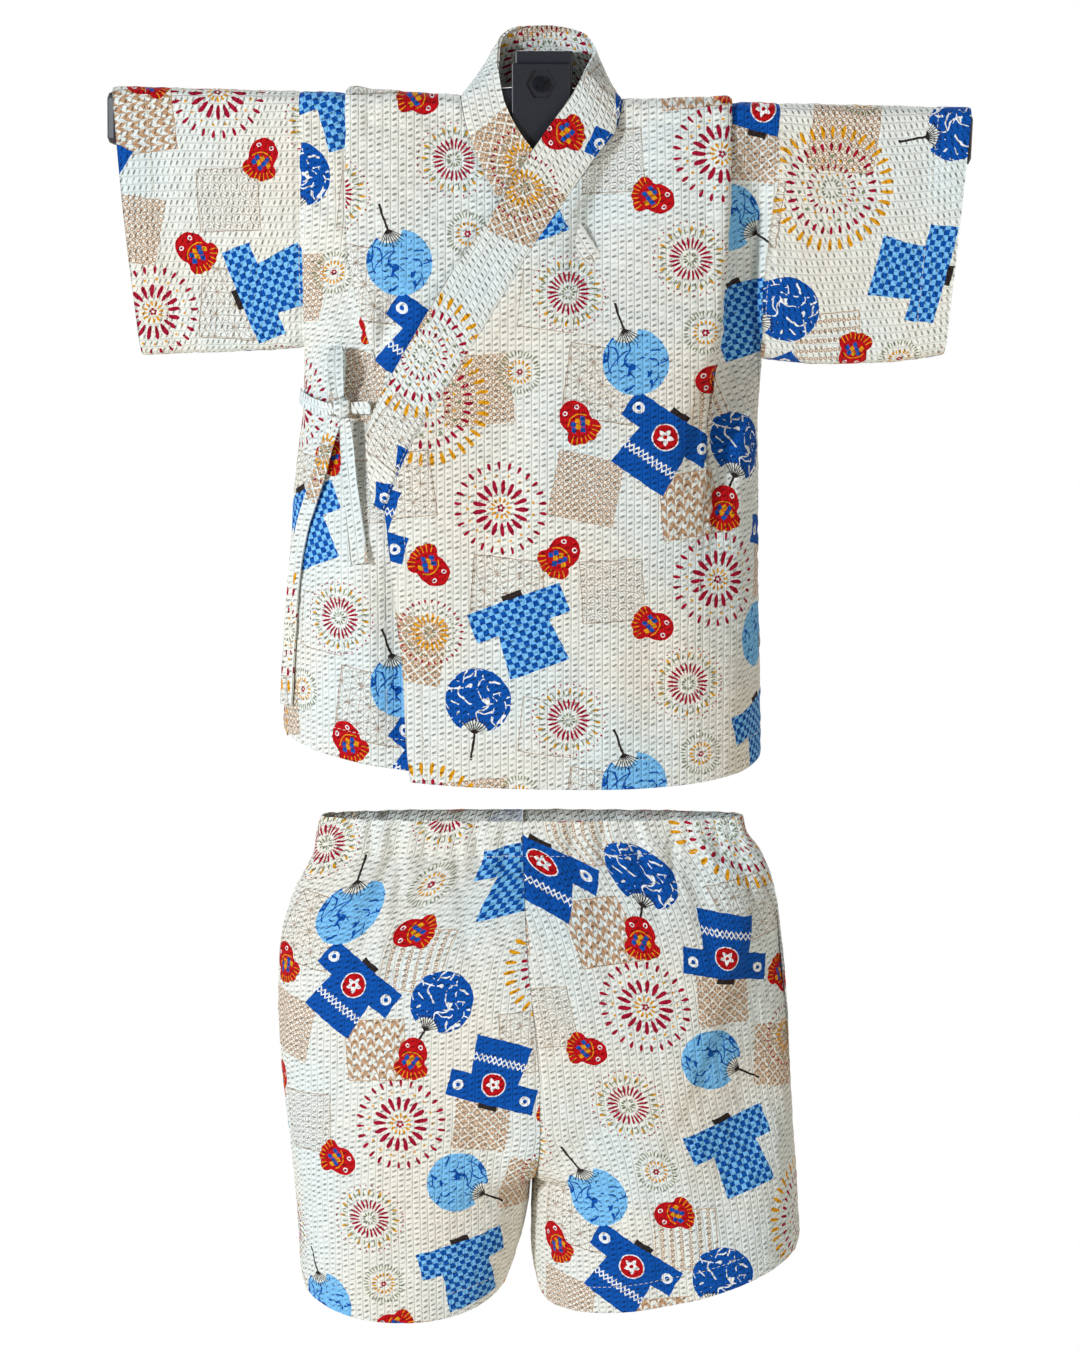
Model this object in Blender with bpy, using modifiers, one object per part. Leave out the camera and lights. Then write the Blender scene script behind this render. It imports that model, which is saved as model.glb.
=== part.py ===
"""A child's jinbei set: a wrapped jacket on a hanger bar, tied in a bow, and its shorts below it.

Metres, +Z up. The front faces -Y and the wearer's left is +X. The origin is the middle of the top
face of the hanger's housing. Every piece of cloth is a sheet worked out from the tables below, as
the middle of a wall, and Solidify gives it its thickness. A drop is a distance below the shoulder
line (or below the waist, for the shorts), and a reach is a distance along the cloth, level, from
the garment's middle line.
"""

import math
from bisect import bisect_right
from collections import namedtuple
from functools import lru_cache

import bmesh
import bpy
import numpy as np
from mathutils import Matrix, Vector

WALL = 0.0012
COLLAR_WALL = 0.0026
TIE_WALL = 0.0014
SEAM_GAP = 0.0005
NECK_GAP, NECK_CORNER_GAP = 0.0009, 0.0014

# Where the garment hangs, from the housing's top face.
SHOULDER_Z = -0.0297
WAIST_Z = -0.5055
TILT = math.tan(math.radians(1.4))
GARMENT_SHIFT = -0.0025

# Jacket: sections of the body. left and right are its sides, front and back its depths from the
# plane of the side seams, arm the half depth of the armhole, and turn how round the sides are.
Body = namedtuple("Body", "drop right left front back arm turn")
BODY = (
    Body(0.000, -0.1540, 0.1535, 0.0120, 0.0120, 0.0120, 1.00),
    Body(0.012, -0.1540, 0.1535, 0.0132, 0.0125, 0.0124, 1.00),
    Body(0.035, -0.1540, 0.1535, 0.0190, 0.0150, 0.0150, 1.00),
    Body(0.065, -0.1538, 0.1508, 0.0270, 0.0210, 0.0175, 0.95),
    Body(0.100, -0.1536, 0.1470, 0.0360, 0.0280, 0.0185, 0.85),
    Body(0.130, -0.1536, 0.1448, 0.0430, 0.0340, 0.0170, 0.72),
    Body(0.149, -0.1537, 0.1448, 0.0475, 0.0376, 0.0130, 0.63),
    Body(0.164, -0.1540, 0.1450, 0.0505, 0.0400, 0.0006, 0.57),
    Body(0.200, -0.1550, 0.1425, 0.0565, 0.0450, 0.0006, 0.48),
    Body(0.240, -0.1600, 0.1432, 0.0620, 0.0490, 0.0006, 0.43),
    Body(0.300, -0.1650, 0.1440, 0.0690, 0.0550, 0.0006, 0.40),
    Body(0.370, -0.1685, 0.1460, 0.0760, 0.0600, 0.0006, 0.39),
    Body(0.436, -0.1708, 0.1472, 0.0820, 0.0640, 0.0006, 0.39),
)
CROWN = 2.6
SECTION_POINTS = 361
# The cloth comes round the bar within this drop; the armhole ends at UNDERARM.
ROUND = 0.012
UNDERARM = 0.164

# The back of the neck is pushed out round the housing.
NECK_PUSH = 0.0095
NECK_SPREAD = 0.040
NECK_FADE = 0.110

HEM_OUTER = 0.4362
HEM_INNER = 0.4305
HEM_BACK = 0.4250
HEM_SIDE_RISE, HEM_SIDE = 0.0120, 0.16
# Rows below this drop are stretched, so that the last one follows its hem.
HEM_STRETCH_FROM = 0.30

# The outer front lies this far in front of the inner one, and further over the inner one's tuck.
LAP, LAP_STARTS = 0.0050, 0.030
LAP_FADES = (0.122, 0.1445)
OVER_TUCK, OVER_TUCK_SIDE, OVER_TUCK_ENDS = 0.0022, (0.055, 0.085), (0.200, 0.260)

# Shoulder tucks: a fold of the cloth that opens out lower down. edge is where the fold's edge
# lies, fold its share that is still folded, trough how deep the cloth sinks beside it.
TUCK_WIDTH = 0.016
TUCK_PITCH = 0.0018
TUCK_RISE_SPREAD = 0.030
TUCK_SUNK = 0.0010
TUCK_BACK_LEAST = 0.0003
TROUGH_BESIDE, TROUGH_SPREAD = 0.007, 0.015
# Past the lowest layer: where the cloth starts to sink, and the least way to its lowest line.
BRINK, BRINK_PAST, LOWEST_PAST = 0.001, 0.002, 0.006
Tuck = namedtuple("Tuck", "drop edge fold trough")
TUCK_LEFT = (
    Tuck(0.000, 0.1228, 1.00, 0.000),
    Tuck(0.060, 0.1212, 1.00, 0.002),
    Tuck(0.105, 0.1180, 0.95, 0.008),
    Tuck(0.144, 0.1143, 0.86, 0.012),
    Tuck(0.168, 0.1115, 0.76, 0.013),
    Tuck(0.200, 0.1070, 0.56, 0.011),
    Tuck(0.240, 0.1035, 0.22, 0.006),
    Tuck(0.290, 0.1000, 0.00, 0.000),
)
TUCK_RIGHT = (
    Tuck(0.000, 0.1240, 1.00, 0.000),
    Tuck(0.072, 0.1240, 1.00, 0.000),
    Tuck(0.104, 0.1222, 0.94, 0.001),
    Tuck(0.130, 0.1172, 0.84, 0.003),
    Tuck(0.150, 0.1110, 0.70, 0.004),
    Tuck(0.170, 0.1060, 0.52, 0.004),
    Tuck(0.215, 0.1010, 0.20, 0.002),
    Tuck(0.270, 0.0980, 0.00, 0.000),
)
TUCK_BACK = (
    Tuck(0.000, 0.1235, 1.00, 0.000),
    Tuck(0.080, 0.1235, 0.95, 0.001),
    Tuck(0.160, 0.1210, 0.55, 0.003),
    Tuck(0.220, 0.1180, 0.15, 0.001),
    Tuck(0.270, 0.1150, 0.00, 0.000),
)

# The collar, along each front: its seam at a drop, and the free edge that faces it there.
Band = namedtuple("Band", "drop seam edge edge_drop")
COLLAR_OUTER = (
    Band(0.0000, 0.0527, 0.0287, -0.0182),
    Band(0.0190, 0.0480, 0.0205, -0.0030),
    Band(0.0303, 0.0389, 0.0125, 0.0085),
    Band(0.0545, 0.0217, -0.0060, 0.0345),
    Band(0.0938, -0.0057, -0.0340, 0.0780),
    Band(0.1355, -0.0312, -0.0600, 0.1160),
    Band(0.1632, -0.0484, -0.0775, 0.1450),
    Band(0.1949, -0.0676, -0.0955, 0.1770),
    Band(0.2144, -0.0792, -0.1072, 0.2000),
    Band(0.2290, -0.0860, -0.1117, 0.2150),
    Band(0.2450, -0.0925, -0.1102, 0.2380),
    Band(0.2613, -0.0982, -0.1071, 0.2575),
)
COLLAR_INNER = (
    Band(0.0000, -0.0505, -0.0268, -0.0180),
    Band(0.0168, -0.0473, -0.0235, 0.0000),
    Band(0.0335, -0.0415, -0.0150, 0.0185),
    Band(0.0502, -0.0338, -0.0045, 0.0329),
    Band(0.0649, -0.0255, 0.0040, 0.0460),
    Band(0.0950, -0.0050, 0.0235, 0.0740),
    Band(0.1330, 0.0200, 0.0490, 0.1130),
    Band(0.1750, 0.0460, 0.0745, 0.1550),
    Band(0.2130, 0.0670, 0.0930, 0.1970),
    Band(0.2450, 0.0820, 0.0990, 0.2380),
    Band(0.2613, 0.0885, 0.0965, 0.2575),
)
# Round the back of the neck, from the left shoulder to the right one: seam, then free edge.
Neck = namedtuple("Neck", "place seam_x seam_y seam_drop edge_x edge_y edge_drop")
COLLAR_NECK = (
    Neck(0, 0.0527, 0.0000, 0.0000, 0.0287, -0.0125, -0.0182),
    Neck(1, 0.0500, 0.0115, -0.0008, 0.0345, 0.0010, -0.0300),
    Neck(2, 0.0350, 0.0195, -0.0050, 0.0275, 0.0115, -0.0410),
    Neck(3, 0.0040, 0.0220, -0.0075, 0.0060, 0.0165, -0.0455),
    Neck(4, -0.0290, 0.0195, -0.0050, -0.0140, 0.0125, -0.0440),
    Neck(5, -0.0478, 0.0115, -0.0008, -0.0260, 0.0025, -0.0340),
    Neck(6, -0.0505, 0.0000, 0.0000, -0.0268, -0.0095, -0.0180),
)
NECK_STEPS = 12
# The back has an extra line of points each side of the neck, and the wider gap ends at this drop.
BACK_LINES = (-0.078, 0.080)
BACK_EVENS_OUT = 0.06
NECK_GAP_ENDS = 0.035
# How far in front of the bar's middle the collar's edge stands, before it meets the fronts.
STAND_OUTER, STAND_INNER = 0.0125, 0.0090
STAND_SLOPE, STAND_TOP = 0.22, -0.0182
STAND_FADES = (0.030, 0.070)

# The outer front's free edge and the inner front's hidden one, below the collar.
Edge = namedtuple("Edge", "drop outer inner")
FRONT_EDGES = (
    Edge(0.2613, -0.0982, 0.0885),
    Edge(0.2900, -0.0958, 0.0900),
    Edge(0.3210, -0.0928, 0.0905),
    Edge(0.3630, -0.0882, 0.0905),
    Edge(0.4095, -0.0860, 0.0900),
    Edge(0.4400, -0.0828, 0.0895),
)
COLLAR_END = 0.2613

# Drops at which the fronts and the collar have a row of points, below the rounded shoulder.
FRONT_DROPS = (
    0.021, 0.0303, 0.042, 0.0545, 0.067, 0.080, 0.0938, 0.107, 0.121, 0.1355, 0.149, 0.164,
    0.179, 0.1949, 0.2144, 0.229, 0.245, 0.2613,
)  # fmt: skip
SKIRT_DROPS = (0.295, 0.330, 0.365, 0.400, 0.436)
BACK_DROPS = (
    0.022, 0.035, 0.052, 0.072, 0.094, 0.118, 0.142, 0.164, 0.190, 0.220, 0.255, 0.295, 0.340,
    0.388, 0.436,
)  # fmt: skip
SHOULDER_TURNS = (0, 30, 60, 90)

# Sleeves, from the armhole to the cuff: how far down the tube reaches, and its half depth.
Sleeve = namedtuple("Sleeve", "along bottom deep")
SLEEVE_RIGHT = (
    Sleeve(0.0, 0.1640, 1.00),
    Sleeve(0.4, 0.1672, 0.86),
    Sleeve(0.8, 0.1695, 0.80),
    Sleeve(1.0, 0.1710, 0.82),
)
SLEEVE_LEFT = (
    Sleeve(0.0, 0.1640, 1.00),
    Sleeve(0.3, 0.1662, 0.86),
    Sleeve(0.7, 0.1640, 0.80),
    Sleeve(1.0, 0.1580, 0.82),
)
Cuff = namedtuple("Cuff", "drop right left")
CUFF = (
    Cuff(0.000, 0.2735, 0.2765),
    Cuff(0.072, 0.2686, 0.2705),
    Cuff(0.171, 0.2596, 0.2625),
)
SLEEVE_GAP = 0.0010
SLEEVE_FLAT, SLEEVE_FULL, SLEEVE_FLAT_BY = 0.0124, 0.0045, 0.55
ARM_DEEP_TO = 0.149
# Shares of the way down at which a sleeve's ring has points, then the rounded underarm: out, up.
SLEEVE_MIDDLES = (0.15, 0.27, 0.40, 0.53, 0.66, 0.78, 0.865)
SLEEVE_UNDER = ((1.0, 0.0140), (0.86, 0.0065), (0.48, 0.0016), (0.0, 0.0))

# Shorts, a row for each section of one leg's half. out and inn are drops at the side seam and at
# the middle or inside seam, dip how much lower the front of the leg is, outer and inner the
# distances of the two seams from the middle plane, and turn how far the section has gone round
# from a quarter (the hips) to a half (a leg).
Half = namedtuple("Half", "row out inn dip outer inner front back turn")
SHORTS_RIGHT = (
    Half(0, 0.000, 0.000, 0.000, 0.1480, 0.0118, 0.0180, 0.0150, 0),
    Half(1, 0.011, 0.011, 0.000, 0.1514, 0.0118, 0.0195, 0.0165, 0),
    Half(2, 0.0235, 0.0235, 0.000, 0.1532, 0.0115, 0.0225, 0.0195, 0),
    Half(3, 0.038, 0.038, 0.000, 0.1592, 0.0108, 0.0310, 0.0290, 0),
    Half(4, 0.062, 0.062, 0.000, 0.1700, 0.0098, 0.0420, 0.0410, 0),
    Half(5, 0.092, 0.092, 0.000, 0.1770, 0.0080, 0.0505, 0.0515, 0),
    Half(6, 0.133, 0.133, 0.000, 0.1786, 0.0035, 0.0570, 0.0600, 0),
    Half(7, 0.173, 0.173, 0.000, 0.1775, 0.0003, 0.0605, 0.0640, 0),
    Half(8, 0.203, 0.205, 0.000, 0.1758, 0.0000, 0.0625, 0.0660, 0),
    Half(9, 0.225, 0.230, 0.000, 0.1727, 0.0014, 0.0635, 0.0660, 30),
    Half(10, 0.241, 0.245, 0.001, 0.1702, 0.0030, 0.0640, 0.0655, 58),
    Half(11, 0.256, 0.252, 0.003, 0.1685, 0.0050, 0.0640, 0.0650, 90),
    Half(12, 0.278, 0.275, 0.005, 0.1672, 0.0076, 0.0640, 0.0645, 90),
    Half(13, 0.303, 0.301, 0.008, 0.1667, 0.0135, 0.0645, 0.0640, 90),
    Half(14, 0.328, 0.328, 0.011, 0.1649, 0.0225, 0.0650, 0.0640, 90),
)
SHORTS_LEFT = (
    Half(0, 0.000, 0.000, 0.000, 0.1375, -0.0118, 0.0180, 0.0150, 0),
    Half(1, 0.011, 0.011, 0.000, 0.1400, -0.0118, 0.0195, 0.0165, 0),
    Half(2, 0.0235, 0.0235, 0.000, 0.1492, -0.0115, 0.0225, 0.0195, 0),
    Half(3, 0.038, 0.038, 0.000, 0.1556, -0.0108, 0.0310, 0.0290, 0),
    Half(4, 0.062, 0.062, 0.000, 0.1612, -0.0098, 0.0420, 0.0410, 0),
    Half(5, 0.092, 0.092, 0.000, 0.1652, -0.0080, 0.0505, 0.0515, 0),
    Half(6, 0.133, 0.133, 0.000, 0.1690, -0.0035, 0.0570, 0.0600, 0),
    Half(7, 0.173, 0.173, 0.000, 0.1711, -0.0003, 0.0605, 0.0640, 0),
    Half(8, 0.200, 0.205, 0.000, 0.1722, 0.0000, 0.0625, 0.0660, 0),
    Half(9, 0.219, 0.230, 0.000, 0.1738, -0.0014, 0.0640, 0.0660, 30),
    Half(10, 0.233, 0.245, 0.001, 0.1752, -0.0030, 0.0655, 0.0660, 58),
    Half(11, 0.247, 0.252, 0.002, 0.1765, -0.0046, 0.0665, 0.0660, 90),
    Half(12, 0.263, 0.277, 0.003, 0.1782, -0.0068, 0.0680, 0.0665, 90),
    Half(13, 0.281, 0.306, 0.005, 0.1790, -0.0068, 0.0695, 0.0670, 90),
    Half(14, 0.299, 0.337, 0.006, 0.1795, -0.0012, 0.0700, 0.0675, 90),
)
SHORTS_ROWS = (0, 1, 2, 3, 3.5, 4, 5, 6, 7, 8, 9, 9.5, 10, 10.5, 11, 12, 13, 14)
HIP_CROWN = 2.4
SHORTS_COLUMNS, SHORTS_CROWDING = 18, 1.3
SHORTS_POINTS = 181
# Of the wall's half, how much a seam that faces its neighbour at an angle draws back.
SEAM_TURN = 1.1
BACK_DIP = 0.3
CASING = 0.0235
GATHER_WAVE, GATHER_WAVE_ENDS = 0.0008, 0.050
GATHER_START, GATHER_FULL, GATHER_WIDE, GATHER_AT_TOP = 0.008, 0.031, 0.8, 0.35
# Larger gathers under the casing: the column that sinks, how deep, and how far down it runs.
Gather = namedtuple("Gather", "column depth length")
GATHERS = {
    "front_right": (Gather(3, 0.0012, 0.030), Gather(6, 0.0036, 0.070), Gather(9, 0.0040, 0.110),
                    Gather(13, 0.0018, 0.050), Gather(15, 0.0012, 0.040)),
    "front_left": (Gather(3, 0.0012, 0.040), Gather(7, 0.0016, 0.050), Gather(10, 0.0038, 0.085),
                   Gather(14, 0.0032, 0.070), Gather(16, 0.0012, 0.040)),
    "back_right": (Gather(2, 0.0020, 0.060), Gather(6, 0.0032, 0.080), Gather(11, 0.0036, 0.090),
                   Gather(15, 0.0016, 0.050)),
    "back_left": (Gather(4, 0.0030, 0.075), Gather(8, 0.0022, 0.060), Gather(12, 0.0036, 0.095),
                  Gather(15, 0.0014, 0.050)),
}  # fmt: skip

# The tie: stretches of strip on the inner front, by reach, drop and height above its cloth.
Point = namedtuple("Point", "reach drop lift width")
KNOT = Point(-0.1255, 0.1975, 0.0085, 0.0110)
KNOT_TALL, KNOT_DEEP = 0.0120, 0.0080
TIES = {
    "tie_loop": (
        Point(-0.1290, 0.1910, 0.0065, 0.0070),
        Point(-0.1305, 0.1790, 0.0045, 0.0095),
        Point(-0.1300, 0.1670, 0.0055, 0.0100),
        Point(-0.1290, 0.1590, 0.0085, 0.0070),
        Point(-0.1283, 0.1665, 0.0120, 0.0098),
        Point(-0.1275, 0.1790, 0.0125, 0.0095),
        Point(-0.1270, 0.1910, 0.0105, 0.0070),
    ),
    "tie_end_long": (
        Point(-0.1285, 0.2040, 0.0078, 0.0065),
        Point(-0.1335, 0.2130, 0.0068, 0.0080),
        Point(-0.1385, 0.2240, 0.0052, 0.0090),
        Point(-0.1450, 0.2420, 0.0038, 0.0095),
        Point(-0.1520, 0.2590, 0.0034, 0.0095),
        Point(-0.1595, 0.2780, 0.0034, 0.0095),
        Point(-0.1665, 0.3060, 0.0038, 0.0095),
        Point(-0.1710, 0.3430, 0.0042, 0.0100),
        Point(-0.1740, 0.3700, 0.0044, 0.0105),
        Point(-0.1765, 0.3960, 0.0046, 0.0105),
    ),
    "tie_end_short": (
        Point(-0.1232, 0.2040, 0.0092, 0.0065),
        Point(-0.1222, 0.2200, 0.0086, 0.0090),
        Point(-0.1215, 0.2370, 0.0072, 0.0095),
        Point(-0.1200, 0.2560, 0.0056, 0.0100),
        Point(-0.1180, 0.2760, 0.0042, 0.0110),
        Point(-0.1160, 0.2960, 0.0036, 0.0115),
    ),
    "tie_strap_side": (
        Point(-0.1315, 0.1985, 0.0080, 0.0070),
        Point(-0.1400, 0.1995, 0.0052, 0.0085),
        Point(-0.1520, 0.1985, 0.0030, 0.0090),
        Point(-0.1650, 0.1960, 0.0023, 0.0085),
        Point(-0.1765, 0.1940, 0.0018, 0.0070),
    ),
    "tie_strap_collar": (
        Point(-0.1195, 0.1970, 0.0080, 0.0070),
        Point(-0.1135, 0.1967, 0.0070, 0.0080),
        Point(-0.1073, 0.1962, 0.0068, 0.0085),
    ),
}
# The strips turn this far towards the front, away from the cloth under them.
TIE_FACING = Vector((0, -0.6, 0))
TIE_STEPS = {
    "tie_loop": 18, "tie_end_long": 18, "tie_end_short": 12, "tie_strap_side": 10,
    "tie_strap_collar": 5,
}  # fmt: skip

# Hanger.
BAR_LONG, BAR_TALL, BAR_THICK, BAR_BEVEL = 0.5560, 0.0340, 0.0160, 0.0045
BAR_BELOW_CLOTH = 0.0024
HOUSING_WIDE, HOUSING_TALL, HOUSING_THICK = 0.0368, 0.0760, 0.0208
CHEEKS_WIDE, CHEEKS_TOP = 0.0600, -0.0240
PLATE_WIDE, PLATE_TALL, PLATE_THICK = 0.0376, 0.0640, 0.0030
PLATE_TOP, PLATE_ASIDE, PLATE_GAP = -0.0078, -0.0018, 0.0004
SLOT_LONG, SLOT_CLEAR = 0.1, 0.0005
HEX_ACROSS, HEX_DEEP, HEX_Z = 0.0172, 0.0020, -0.0209
BOLT_RADIUS = 0.0052

# A short way along a line, to find its direction.
NEARBY = 0.0008
SHORTS_NEARBY = 0.001

COLOURS = {
    "cloth": ((0.87, 0.85, 0.78, 1), 0.85),
    "tie": ((0.86, 0.84, 0.77, 1), 0.85),
    "hanger": ((0.010, 0.012, 0.020, 1), 0.45),
    "metal": ((0.05, 0.05, 0.06, 1), 0.35),
}


def read(table, column, at):
    """A column of a table at a value of its first column, on a curve that never overshoots."""
    keys = [row[0] for row in table]
    values = [getattr(row, column) for row in table]
    at = min(max(at, keys[0]), keys[-1])
    here = min(bisect_right(keys, at) - 1, len(keys) - 2)
    slopes = [(b - a) / (q - p) for a, b, p, q in zip(values, values[1:], keys, keys[1:])]

    def tangent(place):
        if place in (0, len(slopes)):
            return slopes[min(place, len(slopes) - 1)]
        before, after = slopes[place - 1], slopes[place]
        return 0.0 if before * after <= 0 else 2 * before * after / (before + after)

    span = keys[here + 1] - keys[here]
    share = (at - keys[here]) / span
    start, end = tangent(here) * span, tangent(here + 1) * span
    rise = values[here + 1] - values[here]
    return values[here] + share * (
        start + share * (3 * rise - 2 * start - end + share * (start + end - 2 * rise))
    )


def ease(value, low, high):
    share = min(max((value - low) / (high - low), 0.0), 1.0)
    return share * share * (3 - 2 * share)


def over_bar(degrees):
    """How far out and how far down the cloth is, as it comes over the bar's rounded top."""
    angle = math.radians(degrees)
    return math.sin(angle) ** (2 / 3), ROUND * (1 - max(math.cos(angle), 0) ** (2 / 3))


@lru_cache(maxsize=None)
def body_section(drop, face):
    """x, depth and reach of points across the front or back of the body, from side to side."""
    drop = max(drop, ROUND)
    right, left = read(BODY, "right", drop), read(BODY, "left", drop)
    arm, turn = read(BODY, "arm", drop), read(BODY, "turn", drop)
    deep = read(BODY, face, drop)
    across = np.sin(np.linspace(-math.pi / 2, math.pi / 2, SECTION_POINTS))
    x = (left + right) / 2 + (left - right) / 2 * across
    depth = arm + (deep - arm) * (1 - np.abs(across) ** CROWN).clip(0) ** turn
    if face == "back":
        push = NECK_PUSH * (1 - ease(drop, 0, NECK_FADE))
        depth = depth + push * np.exp(-((x / NECK_SPREAD) ** 2))
    steps = np.hypot(np.diff(x), np.diff(depth))
    reach = np.concatenate([[0], np.cumsum(steps)])
    return x, depth, reach - np.interp(0, x, reach)


def reach_of(x, drop, face):
    xs, _, reach = body_section(round(drop, 6), face)
    return float(np.interp(x, xs, reach))


def side_reach(side, drop, face):
    reach = body_section(round(drop, 6), face)[2]
    return float(reach[-1] if side > 0 else reach[0])


def on_body(reach, drop, lift, face, turn=90):
    """A point of the jacket's body, before it is tilted: x, y and the drop.

    turn is 90 below the shoulder, and less where the cloth comes over the bar.
    """
    xs, depths, reaches = body_section(round(max(drop, ROUND), 6), face)
    x, depth = np.interp(reach, reaches, xs), np.interp(reach, reaches, depths)
    ahead, behind = min(reach + NEARBY, reaches[-1]), max(reach - NEARBY, reaches[0])
    run = np.interp(ahead, reaches, xs) - np.interp(behind, reaches, xs)
    rise = np.interp(ahead, reaches, depths) - np.interp(behind, reaches, depths)
    length = math.hypot(run, rise)
    level = lift * math.sin(math.radians(turn))
    depth = max(depth * over_bar(turn)[0], SEAM_GAP / 2) + level * run / length
    low = drop - lift * math.cos(math.radians(turn))
    return float(x - level * rise / length), float(-depth if face == "front" else depth), low


def hang(x, y, drop):
    """From the jacket's own lines to the object's frame: the bar hangs a little askew."""
    return Vector((x + GARMENT_SHIFT, y, SHOULDER_Z - drop - TILT * x))


def tuck_points(fold):
    """A tuck's section, from the middle outwards, down to its lowest layer: along and out.

    Down to a half, the part that lies back grows shorter. Below that the bend flattens.
    """
    radius = TUCK_PITCH / 2
    corner = radius * math.sqrt(2)
    back = (TUCK_WIDTH - TUCK_PITCH) * max(2 * fold - 1, 0) + TUCK_BACK_LEAST
    bend = min(2 * fold, 1)
    along, out = 0.0, 0.0
    points = [(along, out)]
    for length, degrees in (
        (TUCK_WIDTH - radius, 0), (corner, 45), (corner, 135), (back, 180), (corner, 135),
        (corner, 45),
    ):  # fmt: skip
        heading = math.radians(degrees * bend)
        along, out = along + length * math.cos(heading), out - length * math.sin(heading)
        points.append((along, out))
    return [(along, high - out - TUCK_SUNK * bend) for along, high in points]


def tucked_row(drop, side, table, face, outer_columns):
    """Reaches and lifts from a tuck's inner start to the side seam, over the fold."""
    section, trough = tuck_points(read(table, "fold", drop)), read(table, "trough", drop)
    start = abs(reach_of(side * (read(table, "edge", drop) - TUCK_WIDTH), drop, face))
    end = abs(side_reach(side, drop, face))
    last = section[-1][0]
    lowest = max(TUCK_WIDTH + TROUGH_BESIDE, last + LOWEST_PAST)
    brink = max(TUCK_WIDTH + BRINK, last + BRINK_PAST)
    section += [(brink, section[-1][1]), (lowest, 0.0)]
    for column in range(1, outer_columns + 1):
        section.append((lowest + (end - start - lowest) * column / outer_columns, 0.0))
    row = []
    for along, out in section:
        past = max(along - lowest, 0) / TROUGH_SPREAD
        sunk = trough * ease(along, brink, lowest) * math.exp(-past**2)
        row.append((side * (start + along), out - sunk))
    return row, start, section[0][1]


def rise_by_tuck(reach, start, height):
    """The cloth inside a tuck still stands a little proud, and settles towards the middle."""
    return height * math.exp(-(max(start - abs(reach), 0) / TUCK_RISE_SPREAD) ** 2)


def lap_lift(x, drop):
    """How far the outer front stands in front of the inner one, and of the tuck in that."""
    over_tuck = OVER_TUCK * ease(-x, *OVER_TUCK_SIDE) * (1 - ease(drop, *OVER_TUCK_ENDS))
    return LAP * ease(drop, 0.0, LAP_STARTS) * (1 - ease(x, *LAP_FADES)) + over_tuck


def hem_drop(hem, x, drop):
    """Stretches the lowest rows so that the last one follows the hem."""
    rise = HEM_SIDE_RISE * abs(x / HEM_SIDE) ** 3
    return drop + (hem - rise - SKIRT_DROPS[-1]) * ease(drop, HEM_STRETCH_FROM, SKIRT_DROPS[-1])


def boundary(which, drop):
    """x of a front's middle edge: the collar's seam, then the free edge."""
    if drop <= COLLAR_END:
        return read(COLLAR_OUTER if which == "outer" else COLLAR_INNER, "seam", drop)
    return read(FRONT_EDGES, which, drop)


def front_point(which, turn, drop, reach, lift):
    if which == "outer":
        lift += lap_lift(on_body(reach, drop, 0, "front")[0], drop)
    x, y, low = on_body(reach, drop, lift, "front", turn)
    return hang(x, y, hem_drop(HEM_OUTER if which == "outer" else HEM_INNER, x, low))


def rows_down(drops):
    """The turn and the drop of each row, over the bar and then down."""
    return [(turn, over_bar(turn)[1]) for turn in SHOULDER_TURNS] + [(90, drop) for drop in drops]


def collar_gap(drop):
    """The cloth stands further from the collar where the two meet at an angle."""
    return SEAM_GAP + (NECK_GAP - SEAM_GAP) * (1 - ease(drop, 0.0, NECK_GAP_ENDS))


def front_grid(which, side, table, inner_columns, outer_columns):
    """The points of a front, row by row, from its middle edge to its side seam."""
    grid = []
    for turn, drop in rows_down(FRONT_DROPS + SKIRT_DROPS):
        row, start, height = tucked_row(drop, side, table, "front", outer_columns)
        edge = reach_of(boundary(which, drop) + side * collar_gap(drop), drop, "front")
        points = []
        for column in range(inner_columns):
            reach = edge + (side * start - edge) * column / inner_columns
            points.append((reach, rise_by_tuck(reach, start, height)))
        points += row
        grid.append([front_point(which, turn, drop, reach, lift) for reach, lift in points])
    return grid


def neck_path(place):
    row = [read(COLLAR_NECK, name, place) for name in Neck._fields[1:]]
    return row[:3], row[3:]


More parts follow.
